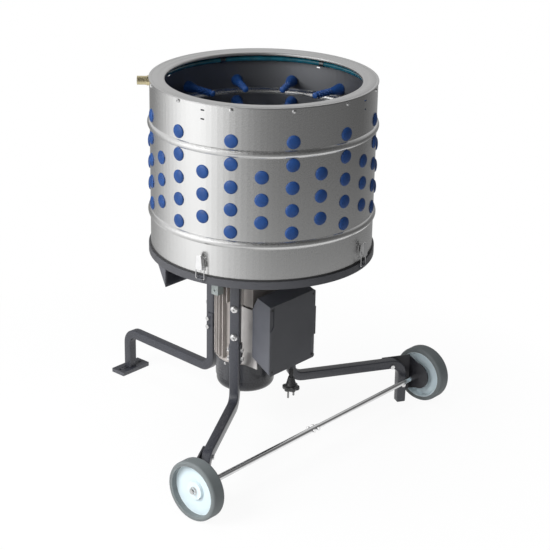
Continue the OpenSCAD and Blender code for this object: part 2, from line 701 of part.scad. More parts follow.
module fan_cowl() {
    cap_h = 28;
    cap_r = cowl_r - 2;
    bend = 16;
    color(dark) at_motor() difference() {
        rotate_extrude($fn = 120) difference() {
            union() {
                translate([0, cowl_z]) square([cap_r - bend, bend + 0.5]);
                intersection() {
                    translate([cap_r - bend, cowl_z + bend]) circle(r = bend, $fn = 64);
                    translate([0, cowl_z]) square([cowl_r, bend]);
                }
                translate([0, cowl_z + bend]) square([cap_r, cap_h - bend + 1]);
                translate([0, cowl_z + cap_h]) square([cowl_r, cowl_h - cap_h]);
            }
            translate([-1, cowl_z + 2]) square([cap_r - bend + 1, bend - 1]);
            intersection() {
                translate([cap_r - bend, cowl_z + bend]) circle(r = bend - 2, $fn = 64);
                translate([0, cowl_z]) square([cowl_r, bend]);
            }
            translate([-1, cowl_z + bend]) square([cap_r - 1, cap_h - bend + 3]);
            translate([-1, cowl_z + cap_h + 2]) square([cowl_r - 0.5, cowl_h]);
        }
        for (i = [0:17]) rotate([0, 0, i * 20]) slab(20, cap_r - bend, -2.2, 2.2, cowl_z - 1, cowl_z + 3);
        for (a = [0:90:270]) rotate([0, 0, a]) rod_x(2.1, cowl_r - 9, cowl_r + 1, 0, z_cowl1 - 4, 16);
    }
}
module cowl_screws() {
    color(zinc) at_motor() for (a = [0:90:270]) rotate([0, 0, a]) {
        translate([cowl_r, 0, z_cowl1 - 4]) rotate([0, 90, 0]) rotate_extrude($fn = 32)
            polygon([[0, -8], [1.9, -8], [1.9, 0], [3.6, 0], [3.4, 0.8], [2.5, 1.9], [1.2, 2.3], [1,
                1.2], [0, 1.2]]);
    }
}
module terminal_block() {
    color([0.6, 0.64, 0.62]) placed() difference() {
        slab(-motor_r - 25, -motor_r - 7, motor_off - 3, motor_off + 17, z_tray - 103, z_mount);
        for (z = [z_tray - 93, z_tray - 75]) rod_x(2.5, -motor_r - 26, -motor_r - 22, motor_off + 7, z, 24);
    }
}

// control box
box_out = [[box_front, box_z + 2], [box_back, box_z + 32], [box_back, box_mid + 2],
    [box_back - 14, box_z + box_h + 11], [box_front, box_z + box_h - 1]];
box_in = [[box_front - 1, box_z + 4.3], [box_back - 2, box_z + 33.2], [box_back - 2, box_mid + 1.6],
    [box_back - 14.9, box_z + box_h + 8.5], [box_front - 1, box_z + box_h - 3.4]];
module control_box() {
    hw = box_w / 2 - 2;
    color(dark) placed() difference() {
        union() {
            difference() {
                side_plate(-hw, hw, box_out);
                side_plate(-hw + 2, hw - 2, box_in);
            }
            for (sx = [-1, 1]) for (z = [box_z + 9, box_z + box_h - 9])
                translate([sx * (hw - 6), 0, 0]) rod_y(4.5, box_front, box_front + 10, 0, z, 24);
        }
        for (sx = [-1, 1]) for (z = [box_z + 9, box_z + box_h - 9])
            rod_y(1.6, box_front - 1, box_front + 9, sx * (hw - 6), z, 16);
        rod_x(6, hw - 3, hw + 1, box_front + 27, box_zc, 24);
    }
}
module control_cover() {
    hw = box_w / 2;
    color(dark) placed() difference() {
        union() {
            slab(-hw + 5, hw - 5, box_front - 3, box_front, box_z, box_z + box_h);
            slab(-hw, hw, box_front - 3, box_front, box_z + 5, box_z + box_h - 5);
            for (sx = [-1, 1]) for (z = [box_z + 5, box_z + box_h - 5])
                rod_y(5, box_front - 3, box_front, sx * (hw - 5), z, 32);
        }
        for (m = [0, 1]) mirror([m, 0, 0]) translate([0, 0, m ? box_z : box_z + box_h])
            mirror([0, 0, m ? 0 : 1])
            translate([-hw - 1, box_front - 4, 0]) rotate([-90, 0, 0]) linear_extrude(height = 2.4)
                polygon([[0, -4 - (m ? 4 : 0)], [13, -4 - (m ? 4 : 0)], [13, -50], [0, -64]]);
        for (sx = [-1, 1]) for (z = [box_z + 9, box_z + box_h - 9]) {
            rod_y(1.7, box_front - 4, box_front + 1, sx * (hw - 8), z, 16);
            rod_y(3.2, box_front - 4, box_front - 1.5, sx * (hw - 8), z, 24);
        }
    }
}
module cover_screws() {
    hw = box_w / 2;
    color(black) placed() for (sx = [-1, 1]) for (z = [box_z + 9, box_z + box_h - 9]) difference() {
        union() {
            rod_y(3, box_front - 2.9, box_front - 1.5, sx * (hw - 8), z, 24);
            rod_y(1.55, box_front - 2, box_front + 8, sx * (hw - 8), z, 16);
        }
        rod_y(1.2, box_front - 4, box_front - 2.2, sx * (hw - 8), z, 16);
    }
}
button_y = box_front + 27;
module switch_body() {
    x0 = box_w / 2 - 2;
    color(black) placed() difference() {
        union() {
            slab(x0, x0 + 18, button_y - 19, button_y + 19, box_zc - 35, box_zc + 35);
            rod_x(5.9, x0 - 2, x0 + 1, button_y, box_zc, 24);
        }
        for (dz = [-15, 15]) rod_x(9 + run_fit, x0 + 5, x0 + 19, button_y, box_zc + dz, 48);
    }
}
module start_button() {
    x0 = box_w / 2 - 2;
    color([0.1, 0.5, 0.22]) placed() rod_x(9, x0 + 11, x0 + 22.5, button_y, box_zc + 15, 48);
}
module stop_button() {
    x0 = box_w / 2 - 2;
    color([0.75, 0.08, 0.08]) placed() union() {
        rod_x(9, x0 + 11, x0 + 23, button_y, box_zc - 15, 48);
        rod_x(11, x0 + 22.5, x0 + 26.5, button_y, box_zc - 15, 48);
    }
}
module box_bracket() {
    yb = motor_off - 22.5;
    b = brk_half;
    low = brk_z0 - flare_h;
    color(galv) placed() union() {
        for (s = [-1, 1]) mirror([s > 0 ? 0 : 1, 0, 0]) {
            side_plate(b, b + 3, [[yb, brk_z0], [yb, brk_z1], [box_back, brk_z1], [box_back, brk_z0]]);
            intersection() {
                translate([0, yb - 26, 0]) rotate([90, 0, 0]) linear_extrude(height = yb - 16 - box_back)
                    polygon([[b, brk_z0], [b + 3, brk_z0], [b + 12, low], [b + 9, low]]);
                side_plate(b - 1, b + 13, [[yb, brk_z0 + 1], [box_back, brk_z0 + 1], [box_back,
                    brk_z0 - 2], [box_back - 10, low], [yb, low]]);
            }
        }
        slab(-b - 3, b + 3, box_back, box_back + 3, brk_z0 + 3, brk_z1);
    }
}
module cord_gland() {
    color(black) placed() difference() {
        union() {
            translate([gland_x, gland_y, gland_z + 7]) cylinder(r = 10, h = 14, $fn = 6);
            translate([gland_x, gland_y, gland_z + 3]) cylinder(r = 8.2, h = 6, $fn = 32);
            translate([gland_x, gland_y, gland_z]) cylinder(r = 6.2, h = 4, $fn = 32);
        }
        side_plate(-box_w / 2, box_w / 2, box_out);
    }
}
// unit vector
function unit(v) = v / norm(v);
function route_dir(p,
    i) = unit(i == 0 ? p[1] - p[0] : i == len(p) - 1 ? p[i] - p[i - 1] : unit(p[i + 1] - p[i])
    + unit(p[i] - p[i - 1]));
function carry(p, i) = i == 0 ? unit(cross(route_dir(p, 0), [0, 1, 0.01]))
    : unit(carry(p, i - 1) - (carry(p, i - 1) * route_dir(p, i)) * route_dir(p, i));
module swept(p, r, n) {
    pts = [for (i = [0:len(p) - 1]) let (d = route_dir(p, i), a = carry(p, i), b = cross(d, a))
        for (k = [0:n - 1]) p[i] + r * (cos(k * 360 / n) * a + sin(k * 360 / n) * b)];
    m = len(p);
    sides = [for (i = [0:m - 2]) for (k = [0:n - 1]) for (q = [0, 1])
        q == 0 ? [i * n + k, i * n + (k + 1) % n, (i + 1) * n + k]
               : [i * n + (k + 1) % n, (i + 1) * n + (k + 1) % n, (i + 1) * n + k]];
    polyhedron(points = pts, faces = concat(sides, [[for (k = [n - 1:-1:0]) k]],
        [[for (k = [0:n - 1]) (m - 1) * n + k]]));
}
module mains_cord() {
    color(black) placed() translate([0, box_front, box_z]) swept(cord_route, cord_r, 10);
}
module mains_plug() {
    color([0.13, 0.13, 0.14]) placed() translate([plug_x, plug_y, plug_z]) union() {
        rotate_extrude($fn = 64) polygon([[0, 0], [4.6, 0], [5.6, -17], [7.5, -20], [9, -28], [12.5,
            -37], [16, -43], [18.5, -45],
            [18.5, -53], [0, -53]]);
        for (s = [-1, 1]) translate([s * 9.5, 0, -72]) cylinder(r = 2.4, h = 20, $fn = 24);
        for (s = [-1, 1]) translate([-3, s * 17.5 - 1.8, -50]) cube([6, 3.6, 8]);
    }
}

// stand
module tube_2d() {
    difference() {
        square(tube_s, center = true);
        square(tube_s - 2 * tube_t, center = true);
    }
}
// bent leg seen from the motor axis, reaching out along X
module bent_leg(reach, z_end) {
    up0 = run_z + bend_r;
    translate([upright_r, 0, up0]) linear_extrude(height = z_mount - up0) tube_2d();
    translate([upright_r + bend_r, 0, up0]) rotate([90, 0, 0]) rotate([0, 0, 180])
        rotate_extrude(angle = 90, $fn = 96) translate([bend_r, 0]) tube_2d();
    translate([upright_r + bend_r, 0, run_z]) rotate([0, 90, 0])
        linear_extrude(height = reach - upright_r - 2 * bend_r) tube_2d();
    translate([reach - bend_r, 0, run_z - bend_r]) rotate([90, 0, 0])
        rotate_extrude(angle = 90, $fn = 96) translate([bend_r, 0]) tube_2d();
    translate([reach, 0, z_end]) linear_extrude(height = run_z - bend_r - z_end) tube_2d();
}
brk_bolts = [[-28, run_z - 5], [3, run_z - 57]];
module legs() {
    color(dark) for (i = [0:2]) at_motor() rotate([0, 0, leg_dirs[i]]) difference() {
        union() {
            bent_leg(leg_reaches[i], i == 0 ? foot_t : 3);
            if (i > 0) translate([leg_reaches[i] - tube_s / 2, -tube_s / 2, 3]) cube([tube_s, tube_s, 2]);
        }
        for (z = low_bolt_z) rod_y(3.1, -tube_s, tube_s, upright_r, z, 24);
        for (z = high_bolt_z) rod_x(4.1, upright_r - tube_s, upright_r + tube_s, 0, z, 24);
        if (i > 0) for (b = brk_bolts) rod_y(3.1, -tube_s, tube_s, leg_reaches[i] + b[0], b[1], 24);
    }
}
module foot_plate() {
    color(dark) placed() difference() {
        translate([foot_x, foot_y, 0])
            slab(-foot_w / 2, foot_w / 2, -foot_dep / 2, foot_dep / 2, 0, foot_t);
        for (s = [-1, 1]) translate([foot_x + s * (foot_w / 2 - 12), foot_y, 0]) {
            translate([0, 0, -1]) cylinder(r = 3.2, h = foot_t + 2, $fn = 32);
            translate([0, 0, foot_t - 1.5]) cylinder(r = 5, h = 3, $fn = 32);
        }
    }
}
module leg_channels() {
    x1 = upright_r - tube_s / 2;
    hs = tube_s / 2;
    color(dark) for (a = leg_dirs) at_motor() rotate([0, 0, a]) difference() {
        union() {
            slab(x1 - chan_t, x1, -hs, hs, chan_z, z_mount);
            slab(x1 - chan_t, x1, -hs - chan_t, hs + chan_t, chan_z, chan_z + 48);
            for (s = [-1, 1]) translate([0, s * (hs + chan_t / 2) - chan_t / 2, 0])
                slab(x1 - chan_t, x1 + 16, 0, chan_t, chan_z, chan_z + 48);
            slab(chan_bolt_r - 10, x1, -hs, hs, z_mount - 3, z_mount);
        }
        for (z = low_bolt_z) rod_y(3.1, -hs - 5, hs + 5, upright_r, z, 24);
        for (z = high_bolt_z) rod_x(4.1, x1 - 5, x1 + 1, 0, z, 24);
        translate([chan_bolt_r, 0, z_mount - 4]) cylinder(r = 4.05, h = 5, $fn = 24);
    }
}
module frame_bolts() {
    hs = tube_s / 2;
    color(zinc) {
        for (i = [0:2]) at_motor() rotate([0, 0, leg_dirs[i]]) {
            // cross bolts low on the uprights
            for (z = low_bolt_z) translate([upright_r, -hs - chan_t, z]) rotate([-90, 0, 0]) {
                hex_bolt(3, tube_s + 2 * chan_t + 5, 4);
                translate([0, 0, tube_s + 2 * chan_t]) cylinder(r = 5.7, h = 5, $fn = 6);
            }
            // round headed bolts through the outer face
            for (z = high_bolt_z) {
                translate([upright_r + hs, 0, z]) rotate([0, 90, 0]) rotate_extrude($fn = 48)
                    polygon([[0, -tube_s - chan_t - 5], [4, -tube_s - chan_t - 5], [4, 0], [9.5, 0],
                        [9.3, 1.5], [7.6, 4],
                        [4.5, 5.8], [2.5, 6], [2.3, 3], [0, 3]]);
                translate([upright_r - hs - chan_t - 6, 0, z]) rotate([0, 90, 0])
                    cylinder(r = 7.5, h = 6, $fn = 6);
            }
            if (i > 0) for (b = brk_bolts) mirror([0, i == 1 ? 1 : 0, 0])
                translate([leg_reaches[i] + b[0], -hs, b[1]]) rotate([-90, 0, 0]) {
                hex_bolt(3, tube_s + brk_t + 5, 4);
                translate([0, 0, tube_s + brk_t]) cylinder(r = 5.7, h = 5, $fn = 6);
            }
        }
        // bolts across the axle joint
        for (x = [-22, -7]) placed() translate([x, axle_y - axle_r - 1, axle_z]) rotate([-90, 0, 0]) {
            hex_bolt(2.5, axle_d + 9, 3.5);
            translate([0, 0, axle_d + 2]) cylinder(r = 4.8, h = 4, $fn = 6);
        }
    }
}
// right hand bracket; the left one is its mirror image
module wheel_bracket() {
    hs = tube_s / 2;
    er = 33;
    x0 = plate_x - brk_t;
    top = run_z + hs - 0.5;
    low = run_z - 80;
    reach = wheel_leg_reach;
    fold = reach + (plate_x - 1 - leg_end_x - (hs + brk_t) / 2) / cos(30);
    // plate along the far side of the leg, folded into the wheel plate
    translate([0, motor_off, 0]) rotate([0, 0, -30]) translate([0, hs + brk_t, 0]) rotate([90, 0, 0])
        linear_extrude(height = brk_t)
        polygon([[reach - 46, run_z - hs], [reach - 46, top], [fold, top], [fold, low], [reach - 9,
            low], [reach - 9, run_z - hs]]);
    difference() {
        union() {
            rod_x(er, x0, plate_x, axle_y, axle_z, 72);
            side_plate(x0, plate_x, [[leg_end_y + 2, top], [leg_end_y + 2, low], [axle_y, axle_z - er],
                [axle_y, axle_z + er]]);
        }
        rod_x(axle_r + 0.02, x0 - 1, plate_x + 1, axle_y, axle_z, 48);
    }
}
module wheel_brackets() {
    color(black) placed() for (m = [0, 1]) mirror([m, 0, 0]) difference() {
        wheel_bracket();
        translate([0, motor_off, 0]) rotate([0, 0, -30]) for (b = brk_bolts)
            rod_y(3.1, 0, tube_s, wheel_leg_reach + b[0], b[1], 24);
    }
}
module axle_tube() {
    color(bright) placed() difference() {
        union() {
            rod_x(axle_r + 1, -plate_x + brk_t, 0, axle_y, axle_z, 48);
            rod_x(axle_r, -face_x + 4, -plate_x + brk_t + 1, axle_y, axle_z, 48);
        }
        rod_x(axle_r, -50, 1, axle_y, axle_z, 48);
        for (x = [-22, -7]) rod_y(2.55, axle_y - 9, axle_y + 9, x, axle_z, 24);
    }
}
module axle_rod() {
    color(bright) placed() difference() {
        rod_x(axle_r, -46, face_x - 4, axle_y, axle_z, 48);
        for (x = [-22, -7]) rod_y(2.55, axle_y - 9, axle_y + 9, x, axle_z, 24);
    }
}
// wheel turned about X, inner face at u = 0, outer face at u = wheel_w
module on_axle(s) {
    placed() mirror([s > 0 ? 0 : 1, 0, 0]) translate([face_x - wheel_w, axle_y, axle_z])
        rotate([0, 90, 0]) children();
}
module tyre(s) {
    r0 = wheel_r * 0.846;
    color(tyre_c) on_axle(s) rotate_extrude($fn = 120)
        polygon([[r0, 0.5], [wheel_r - 5, 0], [wheel_r - 2, 1], [wheel_r - 0.4, 3.5], [wheel_r, 6],
            [wheel_r, wheel_w - 6],
            [wheel_r - 0.4, wheel_w - 3.5], [wheel_r - 2, wheel_w - 1], [wheel_r - 5, wheel_w], [r0,
                wheel_w - 0.5]]);
}
module hub(s) {
    r0 = wheel_r * 0.846;
    w = wheel_w;
    color(hub_c) on_axle(s) rotate_extrude($fn = 96)
        polygon([[axle_r + run_fit, -2.5], [13, -2.5], [14, 8], [r0 - 6, 11], [r0 - 2, 1.5], [r0, 1.5],
            [r0, w - 14], [r0 - 3, w - 14.5],
            [22, w - 15.5], [20.5, w - 9], [axle_r + run_fit, w - 9]]);
}
module tyre_left() { tyre(-1); }
module hub_left() { hub(-1); }
module tyre_right() { tyre(1); }
module hub_right() { hub(1); }
module wheel_nuts() {
    color(zinc) for (s = [-1, 1]) on_axle(s) difference() {
        union() {
            translate([0, 0, wheel_w - 8.8]) cylinder(r = 9.5, h = 1.5, $fn = 48);
            translate([0, 0, wheel_w - 7.4]) cylinder(r = 8.2, h = 4.4, $fn = 6);
            intersection() {
                translate([0, 0, wheel_w - 4.5]) sphere(r = 6.8, $fn = 48);
                translate([0, 0, wheel_w - 4]) cylinder(r = 8, h = 3.5, $fn = 48);
            }
        }
        translate([0, 0, wheel_w - 10]) cylinder(r = axle_r, h = 6, $fn = 48);
    }
}

drum_shell();
rim_ring();
rim_screws();
spray_ring();
spray_clips();
water_inlet();
drum_fingers();
latch_plates();
lever_1();
lever_2();
lever_3();
lever_4();
bail_1();
bail_2();
bail_3();
bail_4();
latch_keepers();
base_tray();
drum_seal();
feather_chute();
mount_plate();
drive_bolts();
gear_case();
feather_plate();
plate_fingers();
plate_shaft();
plate_nuts();
drive_gear();
bearing_housing();
bearings();
motor_housing();
stator();
rotor();
pinion();
cooling_fan();
fan_cowl();
cowl_screws();
terminal_block();
control_box();
control_cover();
cover_screws();
switch_body();
start_button();
stop_button();
box_bracket();
cord_gland();
mains_cord();
mains_plug();
legs();
foot_plate();
leg_channels();
frame_bolts();
wheel_brackets();
axle_tube();
axle_rod();
tyre_left();
hub_left();
tyre_right();
hub_right();
wheel_nuts();
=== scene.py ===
# Drum poultry plucker on its wheeled stand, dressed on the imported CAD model.
# Metres, Z up, floor at Z = 0. The sections follow the machine as it is put together.
import math
import bmesh
import bpy
from mathutils import Matrix, Vector


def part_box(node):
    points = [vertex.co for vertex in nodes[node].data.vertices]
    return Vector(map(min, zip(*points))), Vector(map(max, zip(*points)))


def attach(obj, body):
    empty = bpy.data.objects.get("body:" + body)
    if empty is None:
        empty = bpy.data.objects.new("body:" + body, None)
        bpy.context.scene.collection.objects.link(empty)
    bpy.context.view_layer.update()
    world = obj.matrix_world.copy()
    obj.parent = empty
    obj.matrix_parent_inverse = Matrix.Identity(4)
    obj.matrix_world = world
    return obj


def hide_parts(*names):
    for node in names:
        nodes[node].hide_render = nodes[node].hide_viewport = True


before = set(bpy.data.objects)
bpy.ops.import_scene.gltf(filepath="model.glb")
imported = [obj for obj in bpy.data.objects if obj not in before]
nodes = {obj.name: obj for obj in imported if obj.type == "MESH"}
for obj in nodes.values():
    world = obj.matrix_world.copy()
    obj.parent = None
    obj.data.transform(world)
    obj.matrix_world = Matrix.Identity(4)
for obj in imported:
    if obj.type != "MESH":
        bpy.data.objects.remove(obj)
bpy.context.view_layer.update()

# Camera. It stands off the left front of the machine at head height and
# looks slightly down, through a long lens, as the photograph does.
lens = bpy.data.cameras.new("camera")
lens.lens = 106.886
lens.sensor_width = 36.0
lens.clip_end = 50.0
camera = bpy.data.objects.new("camera", lens)
camera.location = (-2.58603, -2.41901, 1.79294)
camera.rotation_euler = [math.radians(turn) for turn in (68.00987, -0.96705, -48.36114)]
bpy.context.scene.collection.objects.link(camera)
bpy.context.scene.camera = camera
bpy.context.scene.view_settings.view_transform = "Standard"


# Mains lead. A short round rubber cable, black, that comes down out of the gland
# under the control box, dips once and ends in its plug.
def feed(tree, slot, value):
    """Gives a node's slot a plain value, or the output of another node."""
    if isinstance(value, bpy.types.NodeSocket):
        tree.links.new(value, slot)
    else:
        slot.default_value = value


def ranged(tree, value, low, high, to_low=0, to_high=1):
    """A value carried from one range into another, and held inside it."""
    node = tree.nodes.new("ShaderNodeMapRange")
    for name, number in (("From Min", low), ("From Max", high), ("To Min", to_low), ("To Max", to_high)):
        node.inputs[name].default_value = number
    tree.links.new(value, node.inputs["Value"])
    return node.outputs["Result"]


def blended(tree, share, first, second, kind="MIX"):
    """A colour between two others, by a share from 0 to 1."""
    node = tree.nodes.new("ShaderNodeMix")
    node.data_type = "RGBA"
    node.blend_type = kind
    feed(tree, node.inputs["Factor"], share)
    feed(tree, node.inputs[6], first)
    feed(tree, node.inputs[7], second)
    return node.outputs[2]


def noise(tree, place, scale, detail):
    """Soft noise over the points of a surface."""
    node = tree.nodes.new("ShaderNodeTexNoise")
    node.inputs["Scale"].default_value = scale
    node.inputs["Detail"].default_value = detail
    tree.links.new(place, node.inputs["Vector"])
    return node.outputs["Fac"]


def raised(tree, height, strength, distance):
    """A bump that follows a height."""
    node = tree.nodes.new("ShaderNodeBump")
    node.inputs["Strength"].default_value = strength
    node.inputs["Distance"].default_value = distance
    tree.links.new(height, node.inputs["Height"])
    return node.outputs["Normal"]


def shader_of(material):
    return material.node_tree.nodes["Principled BSDF"]


def finish_of(name, colour, metallic, rough, patch=(14.0, 0.12), grain=(350, 350, 350),
              spread=0.12, relief=0.1, wear=0.3):
    """A material with cloudy tone, fine grain in roughness and bump, and lighter worn edges."""
    material = bpy.data.materials.new(name)
    material.use_nodes = True
    tree = material.node_tree
    shader = shader_of(material)
    shader.inputs["Metallic"].default_value = metallic
    place = tree.nodes.new("ShaderNodeTexCoord").outputs["Object"]
    patch_scale, patch_depth = patch
    dark = [c * (1 - patch_depth) for c in colour]
    light = [min(1, c * (1 + patch_depth)) for c in colour]
    cloudy = ranged(tree, noise(tree, place, patch_scale, 5), 0.3, 0.7)
    tone = blended(tree, cloudy, (*dark, 1), (*light, 1))
    stretch = tree.nodes.new("ShaderNodeMapping")
    stretch.inputs["Scale"].default_value = grain
    tree.links.new(place, stretch.inputs["Vector"])
    fine = noise(tree, stretch.outputs["Vector"], 1, 6)
    gloss = ranged(tree, fine, 0.25, 0.75, max(0.02, rough - spread), min(1, rough + spread))
    tree.links.new(gloss, shader.inputs["Roughness"])
    tree.links.new(raised(tree, fine, relief, 0.0005), shader.inputs["Normal"])
    edges = tree.nodes.new("ShaderNodeNewGeometry").outputs["Pointiness"]
    worn = [min(1, c * 1.5 + 0.08) for c in colour]
    paint = blended(tree, ranged(tree, edges, 0.52, 0.62, 0, wear), tone, (*worn, 1))
    tree.links.new(paint, shader.inputs["Base Color"])
    return material


def smooth_route(points, steps):
    """A Catmull-Rom line through the points."""
    ends = [points[0] * 2 - points[1]] + points + [points[-1] * 2 - points[-2]]
    line = []
    for i in range(1, len(ends) - 2):
        a, b, c, d = ends[i - 1:i + 3]
        for k in range(steps):
            t = k / steps
            line.append(0.5 * (2 * b + (c - a) * t + (2 * a - 5 * b + 4 * c - d) * t * t
                               + (3 * b - a - 3 * c + d) * t ** 3))
    return line + [points[-1]]


def round_wire(name, line, diameter, roundness, material):
    """A round wire or cable along a line, with closed ends."""
    curve = bpy.data.curves.new(name, "CURVE")
    curve.dimensions = "3D"
    curve.bevel_depth = diameter / 2
    curve.bevel_resolution = roundness
    curve.use_fill_caps = True
    spline = curve.splines.new("POLY")
    spline.points.add(len(line) - 1)
    for point, spot in zip(spline.points, line):
        point.co = (*spot, 1)
    curve.materials.append(material)
    obj = bpy.data.objects.new(name, curve)
    bpy.context.scene.collection.objects.link(obj)
    return obj


box_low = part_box("control_cover")[0]
lead_start = Vector((0, box_low[1] + 0.003, box_low[2]))
lead_route = [lead_start + Vector(p) / 1000 for p in [
    (-30, 37, 8), (-30, 37, 2), (-27, 36, -4), (-19, 33, -7), (-8, 28, -8), (4, 23, -7), (14, 19, -8),
    (19, 17.5, -11), (21, 17, -15), (21, 17, -19)]]
lead_line = smooth_route(lead_route, 4)
lead_d = 0.008
lead_rubber = finish_of("lead_rubber", (0.018, 0.018, 0.02), 0, 0.5, grain=(500, 500, 500), relief=0.15)
lead = round_wire("mains_lead", lead_line, lead_d, 5, lead_rubber)
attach(lead, "stand_and_drum")
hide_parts("mains_cord")


# Plug. A moulded two pin plug: a ribbed sleeve that runs into a flared body with a
# scalloped grip, all one piece of black rubber, and two nickelled pins.
def piece(name, points, faces, material, body="stand_and_drum", crease=35):
    """A mesh piece with smooth faces and sharp edges past the crease angle, riding on its body."""
    mesh = bpy.data.meshes.new(name)
    mesh.from_pydata(points, [], faces)
    shape = bmesh.new()
    shape.from_mesh(mesh)
    bmesh.ops.remove_doubles(shape, verts=shape.verts, dist=0.00002)
    bmesh.ops.recalc_face_normals(shape, faces=shape.faces)
    shape.to_mesh(mesh)
    shape.free()
    mesh.materials.append(material)
    mesh.shade_smooth()
    mesh.set_sharp_from_angle(angle=math.radians(crease))
    obj = bpy.data.objects.new(name, mesh)
    bpy.context.scene.collection.objects.link(obj)
    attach(obj, body)
    return obj


def turned(outline, steps, scallops=None):
    """Points and faces of an outline of (radius, height) turned round Z."""
    points, faces = [], []
    for k in range(steps):
        turn = 2 * math.pi * k / steps
        for i, (r, z) in enumerate(outline):
            out = r * (scallops(i, turn) if scallops else 1)
            points.append(Vector((out * math.cos(turn), out * math.sin(turn), z)))
    n = len(outline)
    for k in range(steps):
        for i in range(n - 1):
            a, b = k * n + i, (k + 1) % steps * n + i
            faces.append((a, b, b + 1, a + 1))
    return points, faces


def joined(parts):
    """Several (points, faces) lists as one."""
    points, faces = [], []
    for some_points, some_faces in parts:
        faces += [tuple(i + len(points) for i in face) for face in some_faces]
        points += some_points
    return points, faces


def moved(part, place):
    return [place @ p for p in part[0]], part[1]


plug_at = Vector((lead_route[-1].x, lead_route[-1].y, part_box("mains_plug")[1][2]))
sleeve_r = 0.0042
rib_r = 0.0054
sleeve = []
for rib in range(5):
    top = -0.0005 - rib * 0.0036
    sleeve += [(0.0046, top), (rib_r, top - 0.0006), (rib_r, top - 0.0020),
               (sleeve_r, top - 0.0024), (sleeve_r, top - 0.0034)]
cone = [(0.0056, -0.0186), (0.0070, -0.0200), (0.0082, -0.025), (0.0104, -0.033), (0.0122, -0.0385),
        (0.0126, -0.0395), (0.0112, -0.0402), (0.0116, -0.0412)]
flare = [(0.0176, -0.0425), (0.0184, -0.0440), (0.0184, -0.0500), (0.0174, -0.0518),
         (0.0120, -0.0525), (0, -0.0525)]
plug_outline = [(0, 0), (sleeve_r, 0)] + sleeve + cone + flare
lobe_count = 6
lobe_depth = 0.11


def grip(i, turn):
    """The lobes round the flared end of the plug."""
    return 1 + lobe_depth * math.cos(lobe_count * turn) if i >= len(plug_outline) - len(flare) else 1


plug_black = finish_of("plug_black", (0.030, 0.030, 0.031), 0, 0.27, grain=(700, 700, 700), relief=0.12)
plug_shape = moved(turned(plug_outline, 72, grip), Matrix.Translation(plug_at))
plug = piece("plug_body", *plug_shape, plug_black, crease=28)
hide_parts("mains_plug")
nickel = finish_of("nickelled_pins", (0.22, 0.22, 0.22), 1, 0.3, grain=(900, 900, 200))
pin_from_axis = 0.0095
pin = turned([(0.0024, -0.052), (0.0024, -0.0705), (0.0018, -0.0716), (0.0008, -0.072), (0, -0.072)], 24)
pins = joined([moved(pin, Matrix.Translation(plug_at + Vector((side * pin_from_axis, 0, 0))))
               for side in (-1, 1)])
plug_pins = piece("plug_pins", *pins, nickel)


# Floor and air of the studio. White paper, lit to white where the camera sees it, that
# still takes the soft shadow of the machine close to its feet, and white air behind it.
def reckoned(tree, operation, *values):
    """A sum on plain numbers or on the outputs of other nodes."""
    node = tree.nodes.new("ShaderNodeMath")
    node.operation = operation
    for slot, value in zip(node.inputs, values):
        feed(tree, slot, value)
    return node.outputs[0]


def vector_reckoned(tree, operation, *values):
    """The same on vectors. A length comes out as a number."""
    node = tree.nodes.new("ShaderNodeVectorMath")
    node.operation = operation
    for slot, value in zip(node.inputs, values):
        feed(tree, slot, value)
    return node.outputs["Value" if operation == "LENGTH" else "Vector"]


def light_of(tree, kind, colour, strength=1.0):
    """A plain light of one colour, as paper glow or as studio air."""
    node = tree.nodes.new(kind)
    node.inputs["Color"].default_value = (*colour, 1)
    node.inputs["Strength"].default_value = strength
    return node.outputs[0]


def either(tree, share, first, second):
    """Two surfaces mixed by a share from 0 to 1."""
    node = tree.nodes.new("ShaderNodeMixShader")
    tree.links.new(share, node.inputs["Fac"])
    tree.links.new(first, node.inputs[1])
    tree.links.new(second, node.inputs[2])
    return node.outputs[0]


def seen_directly(tree):
    """1 for rays from the camera and in mirrors and glass, 0 for light that reaches a matt surface."""
    path = tree.nodes.new("ShaderNodeLightPath").outputs
    mirror = reckoned(tree, "ADD", path["Is Camera Ray"], path["Is Glossy Ray"])
    both = reckoned(tree, "ADD", mirror, path["Is Transmission Ray"])
    both.node.use_clamp = True
    return both


def staged(name, points, faces, material, centre=(0, 0, 0)):
    """A part of the studio, which isn't part of the machine."""
    mesh = bpy.data.meshes.new(name)
    mesh.from_pydata(points, [], faces)
    mesh.materials.append(material)
    obj = bpy.data.objects.new(name, mesh)
    obj.location = centre
    bpy.context.scene.collection.objects.link(obj)
    return obj


paper = bpy.data.materials.new("white_paper")
paper.use_nodes = True
tree = paper.node_tree
tree.nodes.clear()
matt = tree.nodes.new("ShaderNodeBsdfDiffuse")
matt.inputs["Color"].default_value = (0.9, 0.9, 0.9, 1)
glow = light_of(tree, "ShaderNodeEmission", (1, 1, 1))
shadow_share = 0.07
shadow_full = 0.45
shadow_end = 0.95
far = vector_reckoned(tree, "LENGTH", tree.nodes.new("ShaderNodeTexCoord").outputs["Object"])
near = ranged(tree, far, shadow_full, shadow_end, shadow_share, 0)
seen = either(tree, near, glow, matt.outputs[0])
surface = either(tree, seen_directly(tree), matt.outputs[0], seen)
tree.links.new(surface, tree.nodes.new("ShaderNodeOutputMaterial").inputs["Surface"])
reach = 9.0
corners = [(-reach, -reach, 0), (reach, -reach, 0), (reach, reach, 0), (-reach, reach, 0)]
studio_floor = staged("studio_floor", corners, [(0, 1, 2, 3)], paper)

world = bpy.data.worlds.new("studio_air")
bpy.context.scene.world = world
world.use_nodes = True
tree = world.node_tree
air = tree.nodes["Background"]
air.inputs["Color"].default_value = (0.93, 0.96, 1.0, 1)
air.inputs["Strength"].default_value = 0.22
white = light_of(tree, "ShaderNodeBackground", (1, 1, 1))
both = either(tree, seen_directly(tree), air.outputs[0], white)
tree.links.new(both, tree.nodes["World Output"].inputs["Surface"])

